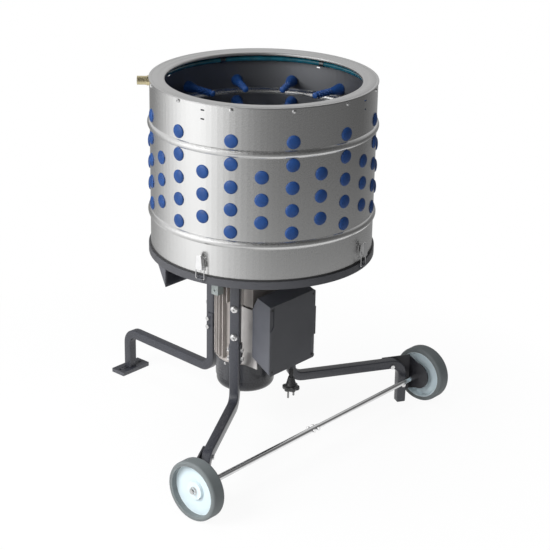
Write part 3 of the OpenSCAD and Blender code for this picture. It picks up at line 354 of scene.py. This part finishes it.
# Lamps. Three square softboxes: a strong one on the left, weak ones in front and
# overhead, all turned to the middle of the drum.
seal_low, seal_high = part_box("drum_seal")
drum_y = (seal_low[1] + seal_high[1]) / 2
drum_middle = Vector((0, drum_y, 0.55))


def softbox(name, direction, height, distance, size, power):
    """A square lamp that looks at the drum from a compass direction in degrees."""
    lamp = bpy.data.lights.new(name, "AREA")
    lamp.shape = "SQUARE"
    lamp.size = size
    lamp.energy = power
    holder = bpy.data.objects.new(name, lamp)
    turn = math.radians(direction)
    holder.location = (distance * math.cos(turn), drum_y + distance * math.sin(turn), height)
    holder.rotation_euler = (drum_middle - holder.location).to_track_quat("-Z", "Y").to_euler()
    bpy.context.scene.collection.objects.link(holder)


softbox("left_softbox", 168, 1.9, 2.6, 1.6, 104)
softbox("front_softbox", 225, 2.6, 3.4, 1.8, 22)
softbox("top_softbox", 90, 3.2, 0.3, 1.2, 22)

# Grey cards. They stand round the machine and close over it as a dome, and only mirror-like
# metal sees them: a pale ground, and over it three bands that are bright on the left and dark
# on the right, so that the steel shades as it does in the photograph.
card_r = 1.05
card_profile = [(0.30, 0.0015), (card_r, 0.0015), (card_r, 0.03), (card_r, 1.30), (0.85, 1.75),
                (0.45, 2.05), (0.004, 2.15)]
card_ground = 0.74
card_overhead = 0.06
# each pair is a direction in degrees and the grey of the card there
card_low = [(0, 0.26), (36, 0.40), (60, 0.32), (80, 0.3), (95, 0.38), (114, 0.57), (129, 0.8), (143, 0.93),
            (156, 1.08), (169, 1.11), (188, 0.73), (209, 0.456), (229, 0.305), (249, 0.265), (270, 0.247),
            (320, 0.235), (345, 0.24), (360, 0.26)]
card_high = [(0, 0.27), (12, 0.33), (36, 0.60), (60, 0.30), (80, 0.20), (95, 0.23), (114, 0.49), (136, 1.0),
             (155, 1.2), (172, 1.06), (184, 0.72), (199, 0.40), (219, 0.22), (239, 0.165), (281, 0.14),
             (328, 0.11), (349, 0.2), (360, 0.27)]
card_sky = [(0, 0.6), (42, 0.74), (90, 0.74), (128, 0.8), (150, 0.66), (168, 0.38), (185, 0.14), (205, 0.07),
            (222, 0.05), (262, 0.06), (300, 0.1), (330, 0.34), (360, 0.6)]
cards = bpy.data.materials.new("grey_cards")
cards.use_nodes = True
tree = cards.node_tree
tree.nodes.clear()
spot = tree.nodes.new("ShaderNodeSeparateXYZ")
tree.links.new(tree.nodes.new("ShaderNodeTexCoord").outputs["Object"], spot.inputs[0])
compass = reckoned(tree, "ARCTAN2", spot.outputs["Y"], spot.outputs["X"])
round_turn = reckoned(tree, "DIVIDE", reckoned(tree, "WRAP", compass, 2 * math.pi, 0), 2 * math.pi)
shade = (card_ground, card_ground, card_ground, 1)
for lights, low, high in ((card_low, 0.004, 0.03), (card_high, 0.15, 0.5), (card_sky, 0.78, 0.98)):
    ramp = tree.nodes.new("ShaderNodeValToRGB")
    for k, (turn, light) in enumerate(lights):
        stop = ramp.color_ramp.elements[k] if k < 2 else ramp.color_ramp.elements.new(turn / 360)
        stop.position = turn / 360
        stop.color = (light, light, light, 1)
    tree.links.new(round_turn, ramp.inputs["Fac"])
    shade = blended(tree, ranged(tree, spot.outputs["Z"], low, high), shade, ramp.outputs["Color"])
overhead = ranged(tree, spot.outputs["Z"], 1.82, 1.98)
shade = blended(tree, overhead, shade, (card_overhead, card_overhead, card_overhead, 1))
glow = tree.nodes.new("ShaderNodeEmission")
tree.links.new(shade, glow.inputs["Color"])
tree.links.new(glow.outputs[0], tree.nodes.new("ShaderNodeOutputMaterial").inputs["Surface"])
studio_cards = staged("studio_cards", *turned(card_profile, 96), cards, (0, drum_y, 0))
for ray in ("visible_camera", "visible_diffuse", "visible_shadow", "visible_transmission", "visible_volume_scatter"):
    setattr(studio_cards, ray, False)


# Drum wall. A sheet of brushed stainless steel rolled into a cylinder and welded, with two
# rolled beads that stiffen it. The outside is brushed along the sheet. The inside is rougher, and its colour
# is painted much darker as painted shade for the inside of the drum.
def from_drum_axis(tree):
    """Where a surface point lies from the drum's own axis."""
    place = tree.nodes.new("ShaderNodeTexCoord").outputs["Object"]
    return vector_reckoned(tree, "SUBTRACT", place, (0, drum_y, 0))


def radius_of(tree, place):
    """How far a point lies out from the axis."""
    return vector_reckoned(tree, "LENGTH", vector_reckoned(tree, "MULTIPLY", place, (1, 1, 0)))


def fine_lines(material, value, per_metre, strength):
    """Adds fine parallel brush lines, drawn by one running value, to a material's colour."""
    tree = material.node_tree
    line = tree.nodes.new("ShaderNodeTexNoise")
    line.noise_dimensions = "1D"
    line.inputs["Scale"].default_value = per_metre
    line.inputs["Detail"].default_value = 8
    tree.links.new(value, line.inputs["W"])
    shade = ranged(tree, line.outputs["Fac"], 0.25, 0.75, 1 - strength, 1 + strength)
    colour = shader_of(material).inputs["Base Color"]
    tree.links.new(blended(tree, 1, colour.links[0].from_socket, shade, "MULTIPLY"), colour)


def dress(node, material, bevel=0.0):
    """Gives a CAD node its finish, and where asked a fine rounded edge."""
    obj = nodes[node]
    if not obj.material_slots:
        obj.data.materials.append(material)
    for slot in obj.material_slots:
        slot.material = material
    if bevel:
        weld = obj.modifiers.new("weld", "WELD")
        weld.merge_threshold = 0.00002
        edge = obj.modifiers.new("edge", "BEVEL")
        edge.width = bevel
        edge.segments = 2
        edge.limit_method = "ANGLE"
        edge.angle_limit = math.radians(50)
        edge.harden_normals = True


brushed = finish_of("brushed_stainless", (0.76, 0.76, 0.755), 1, 0.27, patch=(7, 0.015),
                    grain=(1400, 1400, 1400), spread=0.012, relief=0.005, wear=0.02)
tree = brushed.node_tree
height = tree.nodes.new("ShaderNodeSeparateXYZ")
tree.links.new(tree.nodes.new("ShaderNodeTexCoord").outputs["Object"], height.inputs[0])
fine_lines(brushed, height.outputs["Z"], 1500, 0.005)
# a radius within the sheet's own thickness parts its outside from its inside
mid_sheet_r = 0.2492
from_axis = from_drum_axis(tree)
inside = reckoned(tree, "LESS_THAN", radius_of(tree, from_axis), mid_sheet_r)
# the inside of the sheet takes a much darker grey than the same steel outside: painted shade
colour = shader_of(brushed).inputs["Base Color"]
inside_painted_shade = blended(tree, inside, colour.links[0].from_socket, (0.20, 0.205, 0.215, 1))
tree.links.new(inside_painted_shade, colour)
roughness = shader_of(brushed).inputs["Roughness"]
rougher = tree.nodes.new("ShaderNodeMix")
tree.links.new(inside, rougher.inputs["Factor"])
tree.links.new(roughness.links[0].from_socket, rougher.inputs[2])
rougher.inputs[3].default_value = 0.48
tree.links.new(rougher.outputs[0], roughness)
# the rolls leave narrow flats in the sheet, three degrees wide
flat_turn = math.radians(3)
spot = tree.nodes.new("ShaderNodeSeparateXYZ")
tree.links.new(from_axis, spot.inputs[0])
compass = reckoned(tree, "ARCTAN2", spot.outputs["Y"], spot.outputs["X"])
step = reckoned(tree, "WRAP", compass, flat_turn / 2, -flat_turn / 2)
rolled = raised(tree, reckoned(tree, "MULTIPLY", step, step), 1, 0.125)
grain_bump = shader_of(brushed).inputs["Normal"].links[0].from_node
tree.links.new(rolled, grain_bump.inputs["Normal"])
dress("drum_shell", brushed)

# Rim. A spun ring of stainless steel: a broad flat that carries the hands, a rolled outer
# edge over the drum wall, a soft step, and an inner lip turned down into the mouth.
rim_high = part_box("rim_ring")[1]
rim_top = rim_high[2]
outer = rim_high[0]
mouth = 0.216


def rounded(centre, r, start, end, steps):
    """Points of an arc in (radius, height), angles in degrees."""
    turns = [math.radians(start + (end - start) * k / steps) for k in range(steps + 1)]
    return [(centre[0] + r * math.cos(turn), centre[1] + r * math.sin(turn)) for turn in turns]


rim_outline = [(outer - 0.0018, rim_top - 0.0024), (outer, rim_top - 0.0024)]
rim_outline += rounded((outer - 0.0015, rim_top - 0.0015), 0.0015, 0, 90, 6)
rim_outline += [(outer - 0.0056, rim_top), (outer - 0.0061, rim_top - 0.0004), (outer - 0.0066, rim_top)]
rim_outline += [(mouth + 0.0165, rim_top), (mouth + 0.0150, rim_top - 0.0003),
                (mouth + 0.0130, rim_top - 0.0011), (mouth + 0.0115, rim_top - 0.0013),
                (mouth + 0.0060, rim_top - 0.0013)]
rim_outline += rounded((mouth + 0.0050, rim_top - 0.0063), 0.0050, 90, 180, 8)
rim_outline += [(mouth, rim_top - 0.0080), (mouth + 0.0015, rim_top - 0.0080), (mouth + 0.0015, rim_top - 0.0045),
                (mouth + 0.0040, rim_top - 0.0030), (mouth + 0.0300, rim_top - 0.0024)]
rim_outline += [(outer - 0.0049, rim_top - 0.0024), (outer - 0.0049, rim_top - 0.012),
                (outer - 0.0033, rim_top - 0.012), (outer - 0.0033, rim_top - 0.0024),
                (outer - 0.0018, rim_top - 0.0024)]
satin = finish_of("satin_rim", (0.50, 0.50, 0.498), 1, 0.34, patch=(10, 0.02), grain=(400, 400, 400),
                  spread=0.03, relief=0.012, wear=0.05)
fine_lines(satin, radius_of(satin.node_tree, from_drum_axis(satin.node_tree)), 900, 0.02)
rim = piece("rim_spun", *moved(turned(rim_outline, 240), Matrix.Translation((0, drum_y, 0))), satin, crease=50)
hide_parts("rim_ring")

# Rim screws. Small steel screws with pan heads, bright zinc plated, that hold the
# rim's inner flange to the drum wall.
bright_zinc = finish_of("bright_zinc", (0.80, 0.80, 0.80), 1, 0.16, patch=(90, 0.08),
                        grain=(900, 900, 900), spread=0.08, relief=0.08)
dress("rim_screws", bright_zinc)

# Spray ring. Teal PVC hose bent round under the rim, glossy and slightly see-through in the
# real thing, with small holes that wet the birds, in stainless clips.
hose = finish_of("teal_hose", (0.008, 0.075, 0.105), 0, 0.12, patch=(60, 0.25), grain=(220, 220, 220),
                 spread=0.06, relief=0.06)
shader_of(hose).inputs["Coat Weight"].default_value = 0.8
shader_of(hose).inputs["Coat Roughness"].default_value = 0.08
dress("spray_ring", hose)
# the clips are stainless, but their colour is painted near black as painted shade under the rim's lip
clip_steel_in_painted_shade = finish_of("clip_steel_in_painted_shade", (0.12, 0.13, 0.135), 1, 0.35, grain=(60, 60, 900))
dress("spray_clips", clip_steel_in_painted_shade)

# Water inlet. A turned brass hose spigot, lacquered pale, screwed through the drum wall
# to feed the spray ring.
brass = finish_of("pale_brass", (0.72, 0.63, 0.40), 1, 0.24, patch=(40, 0.08), grain=(900, 60, 60),
                  spread=0.08, relief=0.06)
dress("water_inlet", brass)

# Plucking fingers. Moulded blue rubber: a low domed head outside, a neck in the wall, a flared
# base inside, a shaft with rows of small barbs and a rounded tip. They are pulled through holes.
finger_blue = finish_of("finger_rubber", (0.006, 0.045, 0.178), 0, 0.5, patch=(55, 0.14),
                        grain=(420, 420, 420), spread=0.06, relief=0.1, wear=0.15)
shader_of(finger_blue).inputs["Specular IOR Level"].default_value = 0.35
head_r = 0.015
neck_r = 0.0099
shaft_r = 0.0054
barb_r = 0.0087
flare_r = 0.0135
rib_count = 6
barbs_round = 8


def finger(wall, length, steps=32):
    """A finger along +Z with its head below 0 and its neck through a wall of that thickness."""
    outline = [(0, -0.0050), (0.0040, -0.00485), (0.0075, -0.0044), (0.0104, -0.0037), (0.0126, -0.0029),
               (0.0141, -0.0019), (0.0149, -0.0009), (head_r, -0.0003), (head_r, 0), (neck_r, 0),
               (neck_r, wall), (flare_r, wall), (flare_r, wall + 0.004), (0.0129, wall + 0.007),
               (0.0113, wall + 0.014), (0.0096, wall + 0.022), (0.0083, wall + 0.029),
               (shaft_r, wall + 0.034)]
    first_barb = len(outline)
    pitch = (length - wall - 0.044) / rib_count
    for rib in range(rib_count):
        low = wall + 0.036 + rib * pitch
        outline += [(shaft_r, low), (barb_r, low + pitch * 0.12), (barb_r, low + pitch * 0.36),
                    (shaft_r, low + pitch * 0.5)]
    last_barb = len(outline)
    outline += [(shaft_r, length - 0.0062), (0.0072, length - 0.0038), (0.0062, length - 0.0018),
                (0.0046, length - 0.0005), (0.0022, length), (0, length)]

    def barbs(i, turn):
        """Cuts each rib into barbs, which stand between the barbs of the rib before."""
        rib, corner = divmod(i - first_barb, 4)
        if i < first_barb or i >= last_barb or corner not in (1, 2):
            return 1
        return 0.84 + 0.16 * math.cos(barbs_round * turn + (rib % 2) * math.pi)

    return turned(outline, steps, barbs)


wall_grip = 0.00197
shell_r = 0.25
drum_turn = math.radians(-3.5)
column_count = 24
top_row = rim_top - 0.074
row_pitch = 0.05
drum_axis = Matrix.Translation((0, drum_y, 0))
drum_finger = finger(wall_grip, 0.09)
drum_set = []
for column in range(column_count):
    turn = drum_turn + math.radians(column * 360 / column_count)
    for rows_down in ((0, 1, 2, 3, 4) if column % 2 == 0 else (1.5, 2.5, 3.5)):
        spot = (drum_axis @ Matrix.Rotation(turn, 4, "Z")
                @ Matrix.Translation((shell_r, 0, top_row - rows_down * row_pitch))
                @ Matrix.Rotation(-math.pi / 2, 4, "Y"))
        drum_set.append(moved(drum_finger, spot))
wall_fingers = piece("wall_fingers", *joined(drum_set), finger_blue, crease=40)
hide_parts("drum_fingers")

plate_grip = 0.004
plate_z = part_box("feather_plate")[1][2] - plate_grip
plate_finger = finger(plate_grip, 0.084)
plate_set = []
for ring_r, count in ((0.07192, 6), (0.10904, 10), (0.14384, 14)):
    for k in range(count):
        spot = (Matrix.Translation((0, drum_y, plate_z)) @ Matrix.Rotation(2 * math.pi * k / count, 4, "Z")
                @ Matrix.Translation((ring_r, 0, 0)))
        plate_set.append(moved(plate_finger, spot))
floor_fingers = piece("plate_fingers_rubber", *joined(plate_set), finger_blue, "feather_plate_drive", crease=40)
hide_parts("plate_fingers")


# Toggle latches. Pressed and chromed channels that turn on a small plate riveted to the drum,
# each with a bent wire bail that hooks under a keeper on the tray and pulls the drum down.
def channel(rows, face, skin):
    """A pressed channel, open towards the wall, through rows of (height, half width, back edge)."""
    points, faces = [], []
    for z, half, back in rows:
        outside = [(back, half), (face - 0.001, half), (face, half - 0.001)]
        outside += [(x, -y) for x, y in reversed(outside)]
        inside = [(back, skin - half), (face - skin, skin - half), (face - skin, half - skin), (back, half - skin)]
        points += [Vector((x, y, z)) for x, y in outside + inside]
    for k in range(len(rows) - 1):
        for i in range(10):
            j = (i + 1) % 10
            faces.append((k * 10 + i, k * 10 + j, k * 10 + 10 + j, k * 10 + 10 + i))
    for first in (0, 10 * (len(rows) - 1)):
        faces += [tuple(first + i for i in ring) for ring in ((0, 1, 8, 9), (1, 2, 3, 4, 7, 8), (4, 5, 6, 7))]
    return points, faces


def block(low, high):
    """A box between two corners."""
    points = [Vector((x, y, z)) for x in (low[0], high[0]) for y in (low[1], high[1]) for z in (low[2], high[2])]
    return points, [(0, 1, 3, 2), (4, 6, 7, 5), (0, 4, 5, 1), (2, 3, 7, 6), (0, 2, 6, 4), (1, 5, 7, 3)]


def rod_across(r, half, x, z, steps=20):
    """A round pin along Y, with eased ends."""
    ease = r * 0.3
    end_r = r * 0.7
    outline = [(0, -half), (end_r, -half), (r, ease - half), (r, half - ease), (end_r, half), (0, half)]
    return moved(turned(outline, steps), Matrix.Translation((x, 0, z)) @ Matrix.Rotation(math.pi / 2, 4, "X"))


def latch_place(k):
    """The place of each of the four latches round the drum."""
    return drum_axis @ Matrix.Rotation(drum_turn + math.radians(15 + 90 * k), 4, "Z")


chrome = finish_of("chrome", (0.84, 0.84, 0.845), 1, 0.12, patch=(70, 0.05), grain=(700, 700, 700),
                   spread=0.05, relief=0.04, wear=0.1)
latch_zinc = finish_of("latch_zinc", (0.5, 0.5, 0.5), 1, 0.34, patch=(80, 0.05), grain=(600, 600, 600),
                       spread=0.04, relief=0.03)
latch_face = 0.265
latch_skin = 0.0011
pivot = (0.2595, 0.498)
lever_rows = [(0.4942, 0.0088, 0.2585), (0.4955, 0.0088, 0.2562), (0.499, 0.0088, 0.2545),
              (0.504, 0.0088, 0.2540), (0.508, 0.0082, 0.2545), (0.517, 0.0074, 0.2555),
              (0.5245, 0.0068, 0.2580), (0.5262, 0.0061, 0.2600), (0.5268, 0.0052, 0.2615)]
toggle = joined([channel(lever_rows, latch_face, latch_skin), rod_across(0.0021, 0.0096, *pivot)])
bail_x = 0.2591
bail_z = 0.504
bail_d = 0.0023
keeper_z = 0.472
bail_bend = [Vector((bail_x, y, z)) for y, z in (
    (0.0072, bail_z), (0.0094, bail_z), (0.0102, bail_z - 0.001), (0.0102, bail_z - 0.014),
    (0.0102, keeper_z + 0.002), (0.0094, keeper_z + 0.0004), (0.0082, keeper_z))]
bail_line = smooth_route(bail_bend + [Vector((p.x, -p.y, p.z)) for p in reversed(bail_bend)], 4)
# the plate on the drum, with two lugs that hold the pivot, and two rivets
foot_front = 0.2514
lug_y = 0.0063
lug_half = 0.0008
foot = [block((0.2497, -0.0078, 0.489), (foot_front, 0.0078, 0.518))]
for side in (-lug_y, lug_y):
    foot.append(block((0.2500, side - lug_half, 0.4952), (pivot[0], side + lug_half, 0.5008)))
    foot.append(moved(rod_across(0.0028, lug_half, *pivot), Matrix.Translation((0, side, 0))))
rivet = turned([(0.0024, 0), (0.0021, 0.0008), (0.0012, 0.0013), (0, 0.0015)], 20)
for z in (0.507, 0.514):
    foot.append(moved(rivet, Matrix.Translation((foot_front, 0, z)) @ Matrix.Rotation(math.pi / 2, 4, "Y")))
latch_foot = joined(foot)
for k in range(4):
    place = latch_place(k)
    lever = piece(f"latch_lever_mesh_{k + 1}", *moved(toggle, place), chrome, f"latch_lever_{k + 1}", crease=30)
    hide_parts(f"lever_{k + 1}")
    wire = round_wire(f"latch_wire_{k + 1}", [place @ spot for spot in bail_line], bail_d, 4, chrome)
    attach(wire, f"latch_bail_{k + 1}")
    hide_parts(f"bail_{k + 1}")
latch_feet = piece("latch_feet", *joined([moved(latch_foot, latch_place(k)) for k in range(4)]), latch_zinc, crease=30)
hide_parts("latch_plates")

# Tray, seal and chute. Folded and welded sheet, powder coated dark slate, with a black
# rubber strip that the drum wall sits in, a chute at the back that lets the feathers out,
# and under each latch a bent keeper whose three slanting slots are black marks, painted shade, not holes.
slate = finish_of("slate_powder_coat", (0.034, 0.036, 0.046), 0, 0.30, patch=(16, 0.12),
                  grain=(1500, 1500, 1500), spread=0.08, relief=0.12, wear=0.5)
shader_of(slate).inputs["Specular IOR Level"].default_value = 0.8
tray_paint = finish_of("tray_paint", (0.018, 0.019, 0.025), 0, 0.34, patch=(16, 0.12),
                       grain=(1500, 1500, 1500), spread=0.08, relief=0.12, wear=0.5)
dress("base_tray", tray_paint)
dress("feather_chute", slate)
dress("mount_plate", slate)
keeper_front = 0.2566
hook_front = 0.2622
keeper = joined([block((0.2540, -0.0074, keeper_z - 0.0085), (keeper_front, 0.0074, keeper_z + 0.0046)),
                 block((0.2540, -0.0062, keeper_z + 0.0015), (hook_front, 0.0062, keeper_z + 0.0030)),
                 block((0.2610, -0.0062, keeper_z - 0.0016), (hook_front, 0.0062, keeper_z + 0.0030))])
hooks = piece("keeper_hooks", *joined([moved(keeper, latch_place(k)) for k in range(4)]), slate, crease=30)
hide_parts("latch_keepers")
seal_black = finish_of("seal_rubber", (0.012, 0.012, 0.013), 0, 0.6, grain=(500, 500, 500), relief=0.15)
dress("drum_seal", seal_black)
# three slanting black marks on each keeper's face stand in for its slots: painted shade, not cut holes
slot_lean = Matrix.Rotation(math.radians(-32), 4, "X")
slot_shade_mark = block((-0.0003, -0.0009, -0.0026), (0.0003, 0.0009, 0.0026))
slot_shade_marks = [moved(slot_shade_mark, latch_place(k) @ Matrix.Translation((keeper_front, side, keeper_z - 0.0051)) @ slot_lean)
        for k in range(4) for side in (-0.0052, 0.0002, 0.0048)]
keeper_slot_shade = piece("keeper_slot_painted_shade", *joined(slot_shade_marks), seal_black, crease=30)

# Feather plate and its drive. The turning plate is stainless, the shaft, gears and nuts are
# machined or plated steel, and the gear case and bearing housing are cast aluminium.
plate_steel = finish_of("plate_steel", (0.50, 0.50, 0.50), 1, 0.33, patch=(12, 0.08), grain=(40, 40, 40),
                        spread=0.1, relief=0.05)
fine_lines(plate_steel, radius_of(plate_steel.node_tree, from_drum_axis(plate_steel.node_tree)), 380, 0.12)
dress("feather_plate", plate_steel)
machined = finish_of("machined_steel", (0.55, 0.54, 0.53), 1, 0.28, patch=(30, 0.1), grain=(80, 80, 1200),
                     spread=0.1, relief=0.08)
for node in ("plate_shaft", "drive_gear", "pinion", "rotor", "bearings"):
    dress(node, machined)
dress("plate_nuts", bright_zinc)
dress("drive_bolts", bright_zinc)
cast = finish_of("cast_aluminium", (0.46, 0.45, 0.44), 1, 0.42, patch=(26, 0.12), grain=(420, 420, 420),
                 spread=0.12, relief=0.3)
dress("gear_case", cast)
dress("bearing_housing", cast)

# Motor. Cast aluminium housing with upright cooling fins, copper winding inside, a black fan
# at the lower end under a pressed steel cowl painted like the stand.
fin_alu = finish_of("fin_aluminium", (0.40, 0.37, 0.35), 0.3, 0.5, patch=(20, 0.08), grain=(300, 300, 60),
                    spread=0.08, relief=0.15)
dress("motor_housing", fin_alu)
copper = finish_of("copper_winding", (0.42, 0.18, 0.07), 1, 0.35, patch=(60, 0.2), grain=(60, 60, 900),
                   relief=0.3)
dress("stator", copper)
fan_black = finish_of("fan_plastic", (0.015, 0.015, 0.017), 0, 0.45, grain=(500, 500, 500))
dress("cooling_fan", fan_black)
cowl_paint = finish_of("cowl_paint", (0.012, 0.013, 0.018), 0, 0.28, patch=(18, 0.15),
                       grain=(900, 900, 900), spread=0.08, relief=0.08, wear=0.4)
shader_of(cowl_paint).inputs["Coat Weight"].default_value = 0.35
dress("fan_cowl", cowl_paint)
dress("cowl_screws", bright_zinc)
terminal = finish_of("terminal_plastic", (0.34, 0.38, 0.37), 0, 0.42, patch=(30, 0.08),
                     grain=(700, 700, 700), relief=0.06)
dress("terminal_block", terminal, 0.001)

# Control box. Folded steel box, slate outside, screwed shut by a flat cover with rounded corners,
# on a galvanised bracket. The switch has a green start and a red stop button.
box_paint = finish_of("box_paint", (0.044, 0.047, 0.060), 0, 0.34, patch=(22, 0.22),
                      grain=(1300, 1300, 1300), spread=0.1, relief=0.08, wear=0.5)
shader_of(box_paint).inputs["Coat Weight"].default_value = 0.25
dress("control_box", box_paint, 0.0006)
cover_paint = finish_of("cover_paint", (0.042, 0.044, 0.052), 0, 0.42, patch=(16, 0.1),
                        grain=(1500, 1500, 1500), spread=0.08, relief=0.12, wear=0.5)
dress("control_cover", cover_paint, 0.0009)
dress("cover_screws", seal_black)
galvanised = finish_of("galvanised_sheet", (0.56, 0.54, 0.53), 0.8, 0.34, patch=(60, 0.06),
                       grain=(160, 160, 160), spread=0.06, relief=0.03)
dress("box_bracket", galvanised, 0.0004)
switch_black = finish_of("switch_plastic", (0.016, 0.016, 0.018), 0, 0.4, grain=(900, 900, 900))
dress("switch_body", switch_black, 0.0008)
dress("cord_gland", switch_black, 0.0004)
green = finish_of("green_button", (0.02, 0.24, 0.06), 0, 0.3, patch=(120, 0.1), grain=(900, 900, 900))
dress("start_button", green, 0.0008)
red = finish_of("red_button", (0.48, 0.012, 0.012), 0, 0.3, patch=(120, 0.1), grain=(900, 900, 900))
dress("stop_button", red, 0.0008)

# Stand. Three legs of bent square tube bolted to channels under the mount plate, a foot plate,
# and brackets that carry the axle, all powder coated.
tube = 0.022
tube_corner = 0.0028
tube_flat = tube / 2 - tube_corner
motor_y = drum_y + 0.045
mount_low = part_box("mount_plate")[0][2]
post_out = 0.112
run_z = 0.106
bend = 0.030
tube_section = [point for a, b, start in ((1, 1, 0), (-1, 1, 90), (-1, -1, 180), (1, -1, 270))
                for point in rounded((a * tube_flat, b * tube_flat), tube_corner, start, start + 90, 5)]


def leg(direction, reach, z_end):
    """A leg as a rounded square tube bent out and down again, with a pressed in end cap."""
    turns = [(t, math.cos(math.radians(t)), math.sin(math.radians(t))) for t in range(9, 91, 9)]
    line = [(post_out, mount_low, -90), (post_out, run_z + bend, -90)]
    line += [(post_out + bend - bend * cos, run_z + bend - bend * sin, t - 90) for t, cos, sin in turns]
    line += [(reach - bend, run_z, 0)]
    line += [(reach - bend + bend * sin, run_z - bend + bend * cos, -t) for t, cos, sin in turns]
    line += [(reach, z_end + up, -90) for up in (0.0035, 0.0034, 0.0031, 0.001, 0)]
    squeeze = {len(line) - 3: 0.955, len(line) - 2: 0.985, len(line) - 1: 0.94}
    turn = math.radians(direction)
    points, faces = [], []
    for k, (s, z, slope) in enumerate(line):
        size = squeeze.get(k, 1)
        across = math.radians(slope + 90)
        for a, b in tube_section:
            out = s + a * size * math.cos(across)
            wide = b * size
            points.append(Vector((out * math.cos(turn) - wide * math.sin(turn),
                                  motor_y + out * math.sin(turn) + wide * math.cos(turn),
                                  z + a * size * math.sin(across))))
    n = len(tube_section)
    for k in range(len(line) - 1):
        faces += [(k * n + i, k * n + (i + 1) % n, (k + 1) * n + (i + 1) % n, (k + 1) * n + i) for i in range(n)]
    faces += [tuple(range(n)), tuple(range((len(line) - 1) * n, len(line) * n))]
    return points, faces


bent_legs = joined([leg(87.5, 0.414, 0.010), leg(210, 0.400, 0.003), leg(330, 0.400, 0.003)])
legs = piece("bent_legs", *bent_legs, slate, crease=30)
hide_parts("legs")
dress("foot_plate", slate, 0.0012)
dress("leg_channels", slate, 0.0006)
bracket_paint = finish_of("bracket_paint", (0.022, 0.022, 0.027), 0, 0.42, grain=(1500, 1500, 1500),
                          relief=0.1, wear=0.5)
dress("wheel_brackets", bracket_paint, 0.0006)
dress("frame_bolts", bright_zinc)

# Axle and wheels. A chromed tube and rod joined in the middle by two bolts, grey rubber tyres
# moulded on pale plastic wheel centres.
dress("axle_tube", chrome)
dress("axle_rod", chrome)
tyre_grey = finish_of("tyre_rubber", (0.135, 0.152, 0.155), 0, 0.55, patch=(18, 0.1),
                      grain=(600, 600, 600), spread=0.08, relief=0.15, wear=0.35)
dress("tyre_left", tyre_grey)
dress("tyre_right", tyre_grey)
hub_pale = finish_of("wheel_centre", (0.60, 0.70, 0.74), 0, 0.36, patch=(24, 0.05), grain=(500, 500, 500),
                     spread=0.06, relief=0.06, wear=0.1)
dress("hub_left", hub_pale)
dress("hub_right", hub_pale)
dress("wheel_nuts", bright_zinc)
